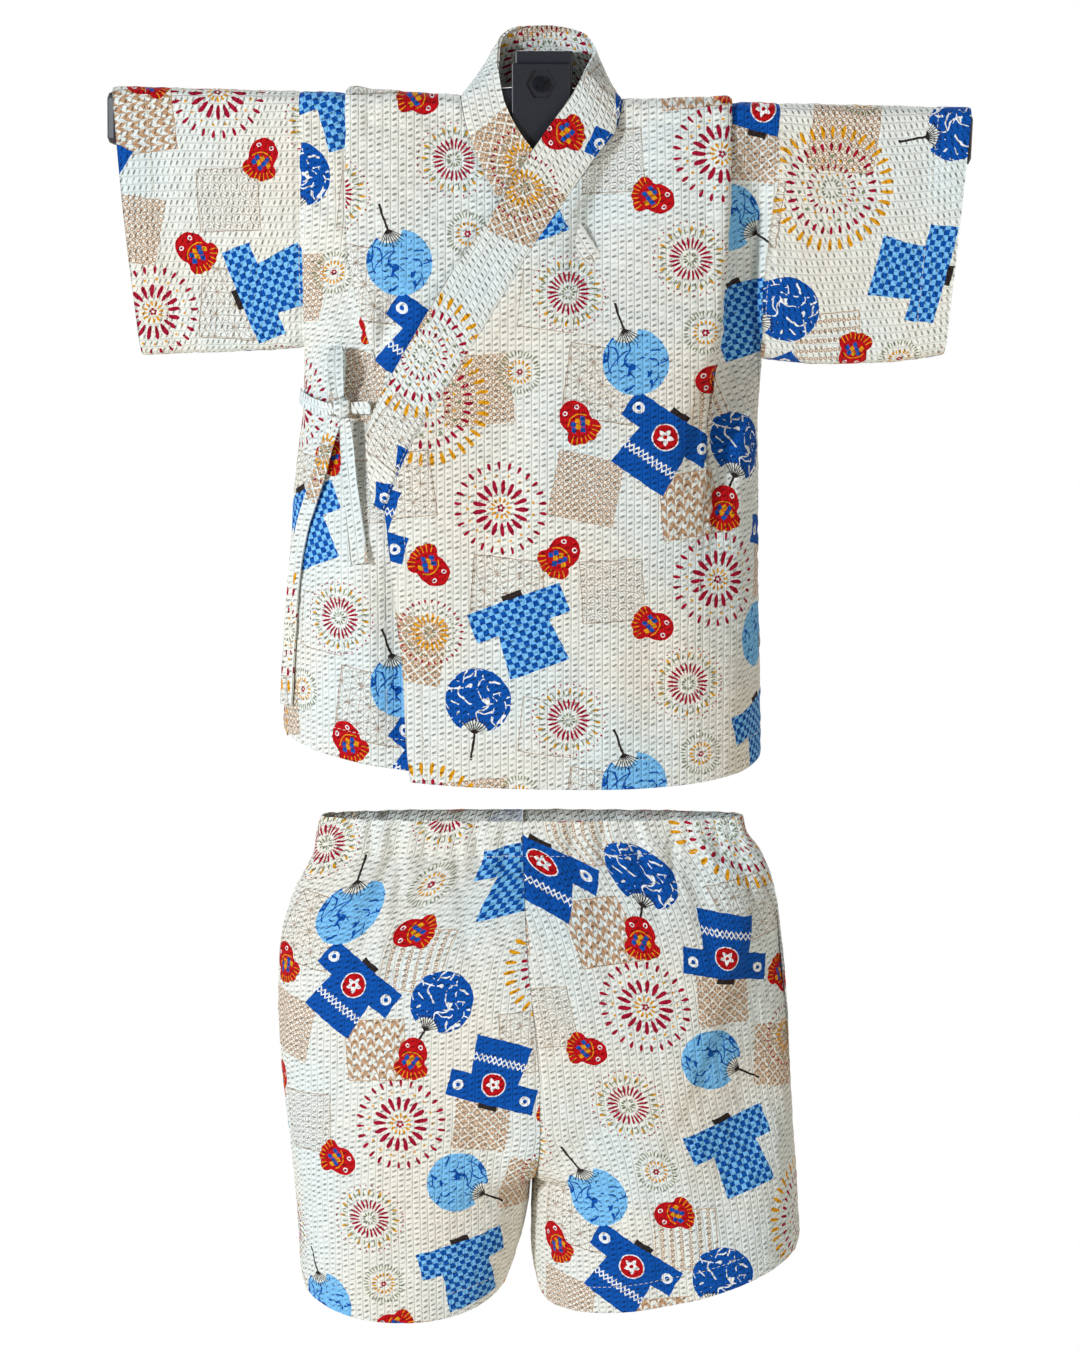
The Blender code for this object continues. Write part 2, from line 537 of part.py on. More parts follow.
def back_grid(outer_columns):
    """The points of the back, from the right side seam to the left one."""
    last = len(SHOULDER_TURNS) - 1
    grid = []
    for index, (turn, drop) in enumerate(rows_down(BACK_DROPS)):
        left, left_start, height = tucked_row(drop, 1, TUCK_BACK, "back", outer_columns)
        right, right_start, _ = tucked_row(drop, -1, TUCK_BACK, "back", outer_columns)
        low = drop + (HEM_BACK - BACK_DROPS[-1]) * ease(drop, HEM_STRETCH_FROM, BACK_DROPS[-1])
        line = [on_body(reach, low, lift, "back", turn) for reach, lift in reversed(right)]
        ends = COLLAR_NECK[-1].seam_x - NECK_CORNER_GAP, COLLAR_NECK[0].seam_x + NECK_CORNER_GAP
        for reach in (BACK_LINES[0], ends[0]):
            lift = rise_by_tuck(reach, right_start, height)
            line.append(on_body(reach, low, lift, "back", turn))
        out, down = (over_bar(turn)[0], drop / ROUND) if index < last else (1.0, 1.0)
        for step in range(1, NECK_STEPS):
            seam, edge = neck_path(6 - 6 * step / NECK_STEPS)
            seam, edge = Vector(seam), Vector(edge)
            x, y, top = seam + (seam - edge).normalized() * NECK_GAP
            even = ends[0] + (ends[1] - ends[0]) * step / NECK_STEPS
            reach = x + (even - x) * ease(drop, ROUND, BACK_EVENS_OUT)
            under = on_body(reach, max(low, ROUND), 0, "back")
            line.append((under[0], y + (under[1] - y) * out, top + (under[2] - top) * down))
        for reach in (ends[1], BACK_LINES[1]):
            lift = rise_by_tuck(reach, left_start, height)
            line.append(on_body(reach, low, lift, "back", turn))
        line += [on_body(reach, low, lift, "back", turn) for reach, lift in left]
        grid.append([hang(*point) for point in line])
    return grid


def collar_row(band, which, turn, drop):
    """Seam and free edge of the collar on a front, as x, y and drop."""
    outer = which == "outer"

    def on_front(x, low, turn=90):
        lift = lap_lift(x, low) if outer else 0.0
        return on_body(reach_of(x, max(low, ROUND), "front"), low, lift, "front", turn)

    edge_x, edge_drop = read(band, "edge", drop), read(band, "edge_drop", drop)
    under = -on_front(edge_x, max(edge_drop, ROUND))[1]
    stand = (STAND_OUTER if outer else STAND_INNER) + STAND_SLOPE * (edge_drop - STAND_TOP)
    if edge_drop > 0.0:
        stand = under + max(stand - under, 0) * (1 - ease(edge_drop, *STAND_FADES))
    return on_front(read(band, "seam", drop), drop, turn), (edge_x, -stand, edge_drop)


def collar_grid(across):
    """The collar's band, from the bottom of the outer front round the neck to the inner one."""
    down = rows_down(FRONT_DROPS)
    rows = [collar_row(COLLAR_OUTER, "outer", turn, drop) for turn, drop in reversed(down)]
    rows += [neck_path(6 * step / NECK_STEPS) for step in range(1, NECK_STEPS)]
    rows += [collar_row(COLLAR_INNER, "inner", turn, drop) for turn, drop in down]
    grid = []
    for seam, edge in rows:
        line = []
        for column in range(across + 1):
            share = column / across
            line.append(hang(*(a + (b - a) * share for a, b in zip(seam, edge))))
        grid.append(line)
    return grid


def armhole_x(side, drop):
    """How far from the middle line the armhole is."""
    return side * read(BODY, "left" if side > 0 else "right", max(drop, ROUND))


def sleeve_depth(along, drop, bottom, deep):
    """Half depth of a sleeve: the armhole's at its root, flatter towards the cuff."""
    arm = read(BODY, "arm", min(drop * UNDERARM / bottom, ARM_DEEP_TO))
    flat = (SLEEVE_FLAT + SLEEVE_FULL * math.sin(math.pi * drop / bottom)) * deep
    return arm + (flat - arm) * ease(along, 0.0, SLEEVE_FLAT_BY)


def sleeve_grid(side, table, long_steps):
    """The points of a sleeve, ring by ring, each ring from the underarm seam round the front."""
    rings = []
    for step in range(long_steps + 1):
        along = step / long_steps
        bottom, deep = read(table, "bottom", along), read(table, "deep", along)
        half = [over_bar(turn) for turn in SHOULDER_TURNS]
        half += [(1.0, bottom * share) for share in SLEEVE_MIDDLES]
        half += [(out, bottom - up) for out, up in SLEEVE_UNDER]
        around = [(-out, drop) for out, drop in reversed(half)] + half[1:]
        ring = []
        for out, drop in around:
            root = armhole_x(side, drop) + SLEEVE_GAP
            cuff = read(CUFF, "left" if side > 0 else "right", drop)
            depth = out * sleeve_depth(along, drop, bottom, deep)
            if drop == bottom:
                depth = math.copysign(SEAM_GAP / 2, out)
            ring.append(hang(side * (root + (cuff - root) * along), depth, drop))
        rings.append(ring)
    return rings


@lru_cache(maxsize=None)
def shorts_section(table, face, row):
    """A level section of a shorts panel: its seams' distances, its points and their reaches."""
    power = 2 / HIP_CROWN
    first = -math.radians(read(table, "turn", row))
    outer = read(table, "outer", row)
    inner = read(table, "inner", row) + SEAM_GAP / 2 - WALL / 2 * math.sin(first) * SEAM_TURN

    def bow(angle):
        sine, cosine = math.sin(angle), max(math.cos(angle), 0)
        return math.copysign(abs(sine) ** power, sine), cosine**power

    wide = (outer - inner) / (1 - bow(first)[0])
    bows = [bow(angle) for angle in np.linspace(first, math.pi / 2, SHORTS_POINTS)]
    x = np.array([outer - wide + wide * sine for sine, _ in bows])
    y = np.array([read(table, face, row) * cosine for _, cosine in bows])
    steps = np.hypot(np.diff(x), np.diff(y))
    return inner, outer, x, y, np.concatenate([[0], np.cumsum(steps)])


def gathered(drop, column, gathers):
    """How far the casing's small waves and the larger gathers below it lift the cloth."""
    lift = GATHER_WAVE * (-1) ** column * (1 - ease(drop, CASING, GATHER_WAVE_ENDS))
    for gather in gathers:
        near = math.exp(-(((column - gather.column) / GATHER_WIDE) ** 2))
        fade = GATHER_AT_TOP + (1 - GATHER_AT_TOP) * ease(drop, GATHER_START, GATHER_FULL)
        fade *= 1 - ease(drop, GATHER_FULL, GATHER_FULL + gather.length)
        lift -= gather.depth * near * fade
    return lift


def shorts_point(table, side, face, row, column, gathers):
    """A point of a shorts panel; column runs from the middle or inside seam to the side seam."""
    inner, outer, x, y, reach = shorts_section(table, face, row)
    at, before = (
        reach[-1] * (1 - (1 - place / SHORTS_COLUMNS) ** SHORTS_CROWDING)
        for place in (column, max(column - 1, 0))
    )  # fmt: skip
    px, py = np.interp(at, reach, x), np.interp(at, reach, y)
    back, ahead = max(at - SHORTS_NEARBY, 0), min(at + SHORTS_NEARBY, reach[-1])
    run = np.interp(ahead, reach, x) - np.interp(back, reach, x)
    rise = np.interp(ahead, reach, y) - np.interp(back, reach, y)
    length = math.hypot(run, rise)
    share = (px - inner) / (outer - inner)
    inn, out = read(table, "inn", row), read(table, "out", row)
    dip = read(table, "dip", row) * (1 if face == "front" else BACK_DIP)
    drop = inn + (out - inn) * share + dip * (1 - (2 * share - 1) ** 2)
    lift = gathered(drop, column, gathers) if 0 < column < SHORTS_COLUMNS else 0.0
    px, py = px - lift * rise / length, py + lift * run / length
    gap = SEAM_GAP / 2
    if column == SHORTS_COLUMNS:
        last = np.interp(before, reach, x) - x[-1], np.interp(before, reach, y) - y[-1]
        gap += WALL / 2 * abs(last[0]) / math.hypot(*last)
    depth = max(py, gap) * (1 if face == "back" else -1)
    return Vector((side * px + GARMENT_SHIFT, depth, WAIST_Z - drop))


def shorts_grid(table, side, face):
    gathers = GATHERS[face + ("_left" if side > 0 else "_right")]
    return [
        [shorts_point(table, side, face, row, column, gathers)
         for column in range(SHORTS_COLUMNS + 1)]
        for row in SHORTS_ROWS
    ]  # fmt: skip


def tie_frames(points, steps):
    """Middle, outward and path directions along a tie's stretch."""
    table = [(index,) + point for index, point in enumerate(points)]
    row = namedtuple("Stretch", "place reach drop lift width")
    table = [row(*entry) for entry in table]
    frames = []
    for step in range(steps + 1):
        place = (len(points) - 1) * step / steps
        reach, drop, lift, width = (read(table, name, place) for name in row._fields[1:])
        here = hang(*on_body(reach, drop, lift, "front"))
        higher = hang(*on_body(reach, drop, lift + NEARBY, "front"))
        frames.append((here, ((higher - here).normalized() + TIE_FACING).normalized(), width))
    return frames


def tie_grid(points, steps):
    frames = tie_frames(points, steps)
    grid = []
    for index, (here, out, width) in enumerate(frames):
        ahead = frames[min(index + 1, steps)][0] - frames[max(index - 1, 0)][0]
        flat = ahead - out * ahead.dot(out)
        level = out.cross(flat).normalized()
        if points[0] == TIES["tie_loop"][0]:
            level = Vector((1, 0, 0))
        grid.append([here + level * width * share for share in (-0.5, 0.0, 0.5)])
    for line, following in zip(grid, grid[1:]):
        if (line[2] - line[0]).dot(following[2] - following[0]) < 0:
            following.reverse()
    return grid


def finish(name):
    colour, roughness = COLOURS[name]
    if name in bpy.data.materials:
        return bpy.data.materials[name]
    material = bpy.data.materials.new(name)
    material.use_nodes = True
    shader = material.node_tree.nodes["Principled BSDF"]
    shader.inputs["Base Color"].default_value = colour
    shader.inputs["Roughness"].default_value = roughness
    shader.inputs["Metallic"].default_value = 0.6 if name == "metal" else 0.0
    return material


def keep(name, mesh, colour, collection="jinbei_set"):
    """Links a finished mesh as one named piece."""
    piece = bpy.data.objects.new(name, mesh)
    bpy.data.collections[collection].objects.link(piece)
    material = finish(colour).copy()
    material.name = name
    mesh.materials.append(material)
    return piece


def sheet(name, grid, wall, colour="cloth", closed=False):
    """A wall of cloth through a grid of points."""
    rows, columns = len(grid) - 1, len(grid[0]) - 1
    shape = bmesh.new()
    bmesh.ops.create_grid(shape, x_segments=columns, y_segments=rows, size=0.5)
    for vertex in shape.verts:
        column = round((vertex.co.x + 0.5) * columns)
        row = round((vertex.co.y + 0.5) * rows)
        vertex.co = grid[row][column]
    if closed:
        bmesh.ops.remove_doubles(shape, verts=shape.verts, dist=1e-6)
    mesh = bpy.data.meshes.new(name)
    shape.to_mesh(mesh)
    shape.free()
    mesh.shade_smooth()
    piece = keep(name, mesh, colour)
    thickness = piece.modifiers.new("Cloth", "SOLIDIFY")
    thickness.thickness = wall
    thickness.offset = 0
    thickness.use_even_offset = True
    thickness.thickness_clamp = 0
    return piece


def box(name, size, centre, colour, bevel, collection="jinbei_set"):
    shape = bmesh.new()
    bmesh.ops.create_cube(shape, size=1, matrix=Matrix.Diagonal((*size, 1)))
    mesh = bpy.data.meshes.new(name)
    shape.to_mesh(mesh)
    shape.free()
    piece = keep(name, mesh, colour, collection)
    piece.location = centre
    if bevel:
        soft = piece.modifiers.new("Edges", "BEVEL")
        soft.width = bevel
        soft.segments = 2
    return piece


def disc(name, radius, thick, sides, centre, collection):
    """A plate with so many sides, facing the front."""
    shape = bmesh.new()
    bmesh.ops.create_cone(
        shape, cap_ends=True, segments=sides, radius1=radius, radius2=radius, depth=thick,
        matrix=Matrix.Rotation(math.pi / 2, 4, "X") @ Matrix.Rotation(math.pi / 6, 4, "Z"),
    )  # fmt: skip
    mesh = bpy.data.meshes.new(name)
    shape.to_mesh(mesh)
    shape.free()
    piece = keep(name, mesh, "metal", collection)
    piece.location = centre
    return piece


def combine(piece, other, operation):
    other.hide_render = True
    other.display_type = "WIRE"
    joint = piece.modifiers.new(operation.title(), "BOOLEAN")
    joint.operation = operation
    joint.object = other


def jacket():
    sheet("front_left", front_grid("outer", 1, TUCK_LEFT, 8, 4), WALL)
    sheet("front_right", front_grid("inner", -1, TUCK_RIGHT, 10, 4), WALL)
    sheet("back", back_grid(4), WALL)
    sheet("collar", collar_grid(3), COLLAR_WALL)
    sheet("sleeve_right", sleeve_grid(-1, SLEEVE_RIGHT, 6), WALL, closed=True)
    sheet("sleeve_left", sleeve_grid(1, SLEEVE_LEFT, 6), WALL, closed=True)


def ties():
    for name, points in TIES.items():
        sheet(name, tie_grid(points, TIE_STEPS[name]), TIE_WALL, "tie")
    place = hang(*on_body(KNOT.reach, KNOT.drop, KNOT.lift, "front"))
    knot = box("tie_knot", (KNOT.width, KNOT_DEEP, KNOT_TALL), place, "tie", 0.0028)
    knot.modifiers["Edges"].segments = 3


def shorts():
    for table, side, name in ((SHORTS_LEFT, 1, "left"), (SHORTS_RIGHT, -1, "right")):
        for face in ("front", "back"):
            sheet(f"shorts_{face}_{name}", shorts_grid(table, side, face), WALL)


def hanger():
    bar_z = SHOULDER_Z - BAR_BELOW_CLOTH - BAR_TALL / 2
    tilt = math.atan(TILT)
    bar_size, middle = (BAR_LONG, BAR_THICK, BAR_TALL), (GARMENT_SHIFT, 0, bar_z)
    bar = box("hanger_bar", bar_size, middle, "hanger", BAR_BEVEL)
    bar.rotation_euler = (0, tilt, 0)
    housing = box(
        "hanger_housing", (HOUSING_WIDE, HOUSING_THICK, HOUSING_TALL), (0, 0, -HOUSING_TALL / 2),
        "hanger", 0.0010,
    )  # fmt: skip
    slot_size = (SLOT_LONG, BAR_THICK + 2 * SLOT_CLEAR, BAR_TALL + 2 * SLOT_CLEAR)
    slot = box("slot", slot_size, middle, "hanger", 0, "cutters")
    slot.rotation_euler = (0, tilt, 0)
    cheeks_tall = CHEEKS_TOP + HOUSING_TALL
    cheeks = box(
        "cheeks", (CHEEKS_WIDE, HOUSING_THICK, cheeks_tall),
        (0, 0, CHEEKS_TOP - cheeks_tall / 2), "hanger", 0.0010, "cutters",
    )  # fmt: skip
    combine(housing, cheeks, "UNION")
    combine(housing, slot, "DIFFERENCE")
    plate_y = -HOUSING_THICK / 2 - PLATE_GAP - PLATE_THICK / 2
    plate = box(
        "hanger_plate", (PLATE_WIDE, PLATE_THICK, PLATE_TALL),
        (PLATE_ASIDE, plate_y, PLATE_TOP - PLATE_TALL / 2), "hanger", 0.0008,
    )  # fmt: skip
    front = plate_y - PLATE_THICK / 2
    recess = disc("recess", HEX_ACROSS / math.sqrt(3), 2 * HEX_DEEP, 6, (PLATE_ASIDE, front, HEX_Z),
                  "cutters")  # fmt: skip
    combine(plate, recess, "DIFFERENCE")
    bolt_long = HEX_DEEP - PLATE_GAP
    disc("hanger_bolt", BOLT_RADIUS, bolt_long,
         24, (PLATE_ASIDE, front + HEX_DEEP - PLATE_GAP - bolt_long / 2, HEX_Z), "jinbei_set")


def main():
    for old in list(bpy.data.objects):
        bpy.data.objects.remove(old)
    for name in ("jinbei_set", "cutters"):
        group = bpy.data.collections.new(name)
        bpy.context.scene.collection.children.link(group)
    jacket()
    ties()
    shorts()
    hanger()


main()
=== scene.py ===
"""Looks for a child's jinbei set: a wrapped ripple-cotton jacket on a hanger bar, and its shorts.

Metres, +Z up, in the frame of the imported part. Each piece of cloth is drawn from the same named
sizes as its solid: first a coarse grid of its middle, with the cloth's own lines beside each point,
then a finer one with the puckers, seams, hems and creases, and then a thin wall.
"""

from bisect import bisect_right
from collections import namedtuple
from functools import lru_cache, partial
from math import copysign, cos, exp, hypot, pi, radians, sin, sqrt, tan

import bpy
import numpy as np
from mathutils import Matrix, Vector


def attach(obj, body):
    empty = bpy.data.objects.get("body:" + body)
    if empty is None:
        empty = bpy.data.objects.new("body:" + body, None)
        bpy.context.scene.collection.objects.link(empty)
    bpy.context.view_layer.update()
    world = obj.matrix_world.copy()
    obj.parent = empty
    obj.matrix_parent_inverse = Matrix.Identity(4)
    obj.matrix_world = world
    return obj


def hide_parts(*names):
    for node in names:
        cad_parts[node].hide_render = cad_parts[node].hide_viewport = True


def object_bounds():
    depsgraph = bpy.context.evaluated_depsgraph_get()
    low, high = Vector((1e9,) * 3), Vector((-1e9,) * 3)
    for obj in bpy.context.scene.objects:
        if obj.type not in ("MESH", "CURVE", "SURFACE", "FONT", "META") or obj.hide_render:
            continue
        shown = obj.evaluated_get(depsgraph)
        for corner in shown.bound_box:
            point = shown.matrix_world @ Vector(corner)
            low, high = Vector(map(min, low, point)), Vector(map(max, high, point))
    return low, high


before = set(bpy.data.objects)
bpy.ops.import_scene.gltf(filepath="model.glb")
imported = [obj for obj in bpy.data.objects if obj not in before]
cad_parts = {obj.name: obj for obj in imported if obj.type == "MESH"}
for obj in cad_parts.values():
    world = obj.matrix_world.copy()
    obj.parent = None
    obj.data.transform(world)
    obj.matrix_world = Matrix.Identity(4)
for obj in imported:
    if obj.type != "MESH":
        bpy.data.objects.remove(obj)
CAD_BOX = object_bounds()

bl_info = {
    "name": "Jinbei set",
    "version": (1, 0, 0),
    "blender": (4, 5, 0),
    "location": "3D View > Sidebar > Jinbei",
    "description": "Makes the cloth, seams, ties and hanger of a child's jinbei set",
    "category": "Object",
}

# ---- named sizes of the garment

# The columns of the tables that aren't lengths.
PLAIN = ("place", "row", "column", "along", "share", "turn", "fold", "bow", "side")


def from_mm(kind, *rows):
    """A table's rows by name, with their lengths turned from millimetres to metres."""
    return tuple(
        kind(*(part if name in PLAIN else part / 1000 for name, part in zip(kind._fields, row)))
        for row in rows
    )


def each_from_mm(kind, tables):
    return {name: from_mm(kind, *rows) for name, rows in tables.items()}


def named(kind, *rows):
    return tuple(kind(*row) for row in rows)


# Too small to matter, and keeps a division from zero.
TINY = 1e-12
WALL = 0.0012
SEAM_GAP = 0.0005
NECK_GAP, NECK_CORNER_GAP = 0.0009, 0.0014

# Where the garment hangs, from the housing's top face.
SHOULDER_Z = -0.0297
WAIST_Z = -0.5055
TILT = tan(radians(1.4))
GARMENT_SHIFT = -0.0025

# Jacket: sections of the body. left and right are its sides, front and back its depths from the
# plane of the side seams, arm the half depth of the armhole, and turn how round the sides are.
Body = namedtuple("Body", "drop right left front back arm turn")
BODY = from_mm(
    Body,
    (0, -154, 153.5, 12, 12, 12, 1), (12, -154, 153.5, 13.2, 12.5, 12.4, 1),
    (35, -154, 153.5, 19, 15, 15, 1), (65, -153.8, 150.8, 27, 21, 17.5, 0.95),
    (100, -153.6, 147, 36, 28, 18.5, 0.85), (130, -153.6, 144.8, 43, 34, 17, 0.72),
    (149, -153.7, 144.8, 47.5, 37.6, 13, 0.63), (164, -154, 145, 50.5, 40, 0.6, 0.57),
    (200, -155, 142.5, 56.5, 45, 0.6, 0.48), (240, -160, 143.2, 62, 49, 0.6, 0.43),
    (300, -165, 144, 69, 55, 0.6, 0.4), (370, -168.5, 146, 76, 60, 0.6, 0.39),
    (436, -170.8, 147.2, 82, 64, 0.6, 0.39),
)
CROWN = 2.6
SECTION_POINTS = 361
# The cloth comes round the bar within this drop; the armhole ends at UNDERARM.
ROUND = 0.012
UNDERARM = 0.164

# The back of the neck is pushed out round the housing.
NECK_PUSH = 0.0095
NECK_SPREAD = 0.04
NECK_FADE = 0.11

HEM_OUTER = 0.4362
HEM_INNER = 0.4305
HEM_BACK = 0.425
HEM_SIDE_RISE, HEM_SIDE = 0.012, 0.16
# Rows below this drop are stretched, so that the last one follows its hem.
HEM_STRETCH_FROM = 0.3

# The outer front lies this far in front of the inner one, and further over the inner one's tuck.
LAP, LAP_STARTS = 0.005, 0.03
LAP_FADES = (0.122, 0.1445)
OVER_TUCK, OVER_TUCK_SIDE, OVER_TUCK_ENDS = 0.0022, (0.055, 0.085), (0.2, 0.26)

# Shoulder tucks: a fold of the cloth that opens out lower down. edge is where the fold's edge
# lies, fold its share that is still folded, trough how deep the cloth sinks beside it.
TUCK_WIDTH = 0.016
TUCK_PITCH = 0.0018
TUCK_RISE_SPREAD = 0.03
TUCK_SUNK = 0.001
TUCK_BACK_LEAST = 0.0003
TROUGH_BESIDE, TROUGH_SPREAD = 0.007, 0.015
# Past the lowest layer: where the cloth starts to sink, and the least way to its lowest line.
BRINK, BRINK_PAST, LOWEST_PAST = 0.001, 0.002, 0.006
Tuck = namedtuple("Tuck", "drop edge fold trough")
TUCK_LEFT = from_mm(
    Tuck,
    (0, 122.8, 1, 0), (60, 121.2, 1, 2), (105, 118, 0.95, 8), (144, 114.3, 0.86, 12),
    (168, 111.5, 0.76, 13), (200, 107, 0.56, 11), (240, 103.5, 0.22, 6), (290, 100, 0, 0),
)
TUCK_RIGHT = from_mm(
    Tuck,
    (0, 124, 1, 0), (72, 124, 1, 0), (104, 122.2, 0.94, 1), (130, 117.2, 0.84, 3), (150, 111, 0.7, 4),
    (170, 106, 0.52, 4), (215, 101, 0.2, 2), (270, 98, 0, 0),
)
TUCK_BACK = from_mm(
    Tuck,
    (0, 123.5, 1, 0), (80, 123.5, 0.95, 1), (160, 121, 0.55, 3), (220, 118, 0.15, 1), (270, 115, 0, 0),
)

# The collar, along each front: its seam at a drop, and the free edge that faces it there.
Band = namedtuple("Band", "drop seam edge edge_drop")
COLLAR_OUTER = from_mm(
    Band,
    (0, 52.7, 28.7, -18.2), (19, 48, 20.5, -3), (30.3, 38.9, 12.5, 8.5), (54.5, 21.7, -6, 34.5),
    (93.8, -5.7, -34, 78), (135.5, -31.2, -60, 116), (163.2, -48.4, -77.5, 145),
    (194.9, -67.6, -95.5, 177), (214.4, -79.2, -107.2, 200), (229, -86, -111.7, 215),
    (245, -92.5, -110.2, 238), (261.3, -98.2, -107.1, 257.5),
)
COLLAR_INNER = from_mm(
    Band,
    (0, -50.5, -26.8, -18), (16.8, -47.3, -23.5, 0), (33.5, -41.5, -15, 18.5),
    (50.2, -33.8, -4.5, 32.9), (64.9, -25.5, 4, 46), (95, -5, 23.5, 74), (133, 20, 49, 113),
    (175, 46, 74.5, 155), (213, 67, 93, 197), (245, 82, 99, 238), (261.3, 88.5, 96.5, 257.5),
)
# Round the back of the neck, from the left shoulder to the right one: seam, then free edge.
Neck = namedtuple("Neck", "place seam_x seam_y seam_drop edge_x edge_y edge_drop")
COLLAR_NECK = from_mm(
    Neck,
    (0, 52.7, 0, 0, 28.7, -12.5, -18.2), (1, 50, 11.5, -0.8, 34.5, 1, -30),
    (2, 35, 19.5, -5, 27.5, 11.5, -41), (3, 4, 22, -7.5, 6, 16.5, -45.5),
    (4, -29, 19.5, -5, -14, 12.5, -44), (5, -47.8, 11.5, -0.8, -26, 2.5, -34),
    (6, -50.5, 0, 0, -26.8, -9.5, -18),
)
NECK_LAST = COLLAR_NECK[-1].place
# By these drops the back's columns are even again, and the wider gap at the neck has closed.
BACK_EVENS_OUT = 0.06
NECK_GAP_ENDS = 0.035
# How far in front of the bar's middle the collar's edge stands, before it meets the fronts.
STAND_OUTER, STAND_INNER = 0.0125, 0.009
STAND_SLOPE, STAND_TOP = 0.22, -0.0182
STAND_FADES = (0.03, 0.07)

# The outer front's free edge and the inner front's hidden one, below the collar.
Edge = namedtuple("Edge", "drop outer inner")
FRONT_EDGES = from_mm(
    Edge,
    (261.3, -98.2, 88.5), (290, -95.8, 90), (321, -92.8, 90.5), (363, -88.2, 90.5), (409.5, -86, 90),
    (440, -82.8, 89.5),
)
COLLAR_END = 0.2613

SHOULDER_TURNS = (0, 15, 30, 45, 60, 75, 90)

# Sleeves, from the armhole to the cuff: how far down the tube reaches, and its half depth.
Sleeve = namedtuple("Sleeve", "along bottom share")
SLEEVE_RIGHT = from_mm(Sleeve, (0, 164, 1), (0.4, 167.2, 0.86), (0.8, 169.5, 0.8), (1, 171, 0.82))
SLEEVE_LEFT = from_mm(Sleeve, (0, 164, 1), (0.3, 166.2, 0.86), (0.7, 164, 0.8), (1, 158, 0.82))
Cuff = namedtuple("Cuff", "drop right left")
CUFF = from_mm(Cuff, (0, 273.5, 276.5), (72, 268.6, 270.5), (171, 259.6, 262.5))
SLEEVE_GAP = 0.001
SLEEVE_FLAT, SLEEVE_FULL, SLEEVE_FLAT_BY = 0.0124, 0.0045, 0.55
ARM_DEEP_TO = 0.149
# Shares of the way down at which a sleeve's ring has points, then the rounded underarm: out, up.
SLEEVE_MIDDLES = (0.11, 0.15, 0.2, 0.27, 0.33, 0.4, 0.47, 0.53, 0.6, 0.66, 0.72, 0.78, 0.83, 0.87)
SLEEVE_UNDER = ((1.0, 0.014), (0.86, 0.0065), (0.48, 0.0016), (0.0, 0.0))

# Shorts, a row for each section of one leg's half. out and inn are drops at the side seam and at
# the middle or inside seam, dip how much lower the front of the leg is, outer and inner the
# distances of the two seams from the middle plane, and turn how far the section has gone round
# from a quarter (the hips) to a half (a leg).
Half = namedtuple("Half", "row out inn dip outer inner front back turn")
SHORTS_RIGHT = from_mm(
    Half,
    (0, 0, 0, 0, 148, 11.8, 18, 15, 0), (1, 11, 11, 0, 151.4, 11.8, 19.5, 16.5, 0),
    (2, 23.5, 23.5, 0, 153.2, 11.5, 22.5, 19.5, 0), (3, 38, 38, 0, 159.2, 10.8, 31, 29, 0),
    (4, 62, 62, 0, 170, 9.8, 42, 41, 0), (5, 92, 92, 0, 177, 8, 50.5, 51.5, 0),
    (6, 133, 133, 0, 178.6, 3.5, 57, 60, 0), (7, 173, 173, 0, 177.5, 0.3, 60.5, 64, 0),
    (8, 203, 205, 0, 175.8, 0, 62.5, 66, 0), (9, 225, 230, 0, 172.7, 1.4, 63.5, 66, 30),
    (10, 241, 245, 1, 170.2, 3, 64, 65.5, 58), (11, 256, 252, 3, 168.5, 5, 64, 65, 90),
    (12, 278, 275, 5, 167.2, 7.6, 64, 64.5, 90), (13, 303, 301, 8, 166.7, 13.5, 64.5, 64, 90),
    (14, 328, 328, 11, 164.9, 22.5, 65, 64, 90),
)
SHORTS_LEFT = from_mm(
    Half,
    (0, 0, 0, 0, 137.5, -11.8, 18, 15, 0), (1, 11, 11, 0, 140, -11.8, 19.5, 16.5, 0),
    (2, 23.5, 23.5, 0, 149.2, -11.5, 22.5, 19.5, 0), (3, 38, 38, 0, 155.6, -10.8, 31, 29, 0),
    (4, 62, 62, 0, 161.2, -9.8, 42, 41, 0), (5, 92, 92, 0, 165.2, -8, 50.5, 51.5, 0),
    (6, 133, 133, 0, 169, -3.5, 57, 60, 0), (7, 173, 173, 0, 171.1, -0.3, 60.5, 64, 0),
    (8, 200, 205, 0, 172.2, 0, 62.5, 66, 0), (9, 219, 230, 0, 173.8, -1.4, 64, 66, 30),
    (10, 233, 245, 1, 175.2, -3, 65.5, 66, 58), (11, 247, 252, 2, 176.5, -4.6, 66.5, 66, 90),
    (12, 263, 277, 3, 178.2, -6.8, 68, 66.5, 90), (13, 281, 306, 5, 179, -6.8, 69.5, 67, 90),
    (14, 299, 337, 6, 179.5, -1.2, 70, 67.5, 90),
)
HIP_CROWN = 2.4
SHORTS_COLUMNS, SHORTS_CROWDING = 18, 1.3
SHORTS_POINTS = 181
# Of the wall's half, how much a seam that faces its neighbour at an angle draws back.
SEAM_TURN = 1.1
BACK_DIP = 0.3
CASING = 0.0235
GATHER_WAVE, GATHER_WAVE_ENDS = 0.0008, 0.05
GATHER_START, GATHER_FULL, GATHER_WIDE, GATHER_AT_TOP = 0.008, 0.031, 0.8, 0.35
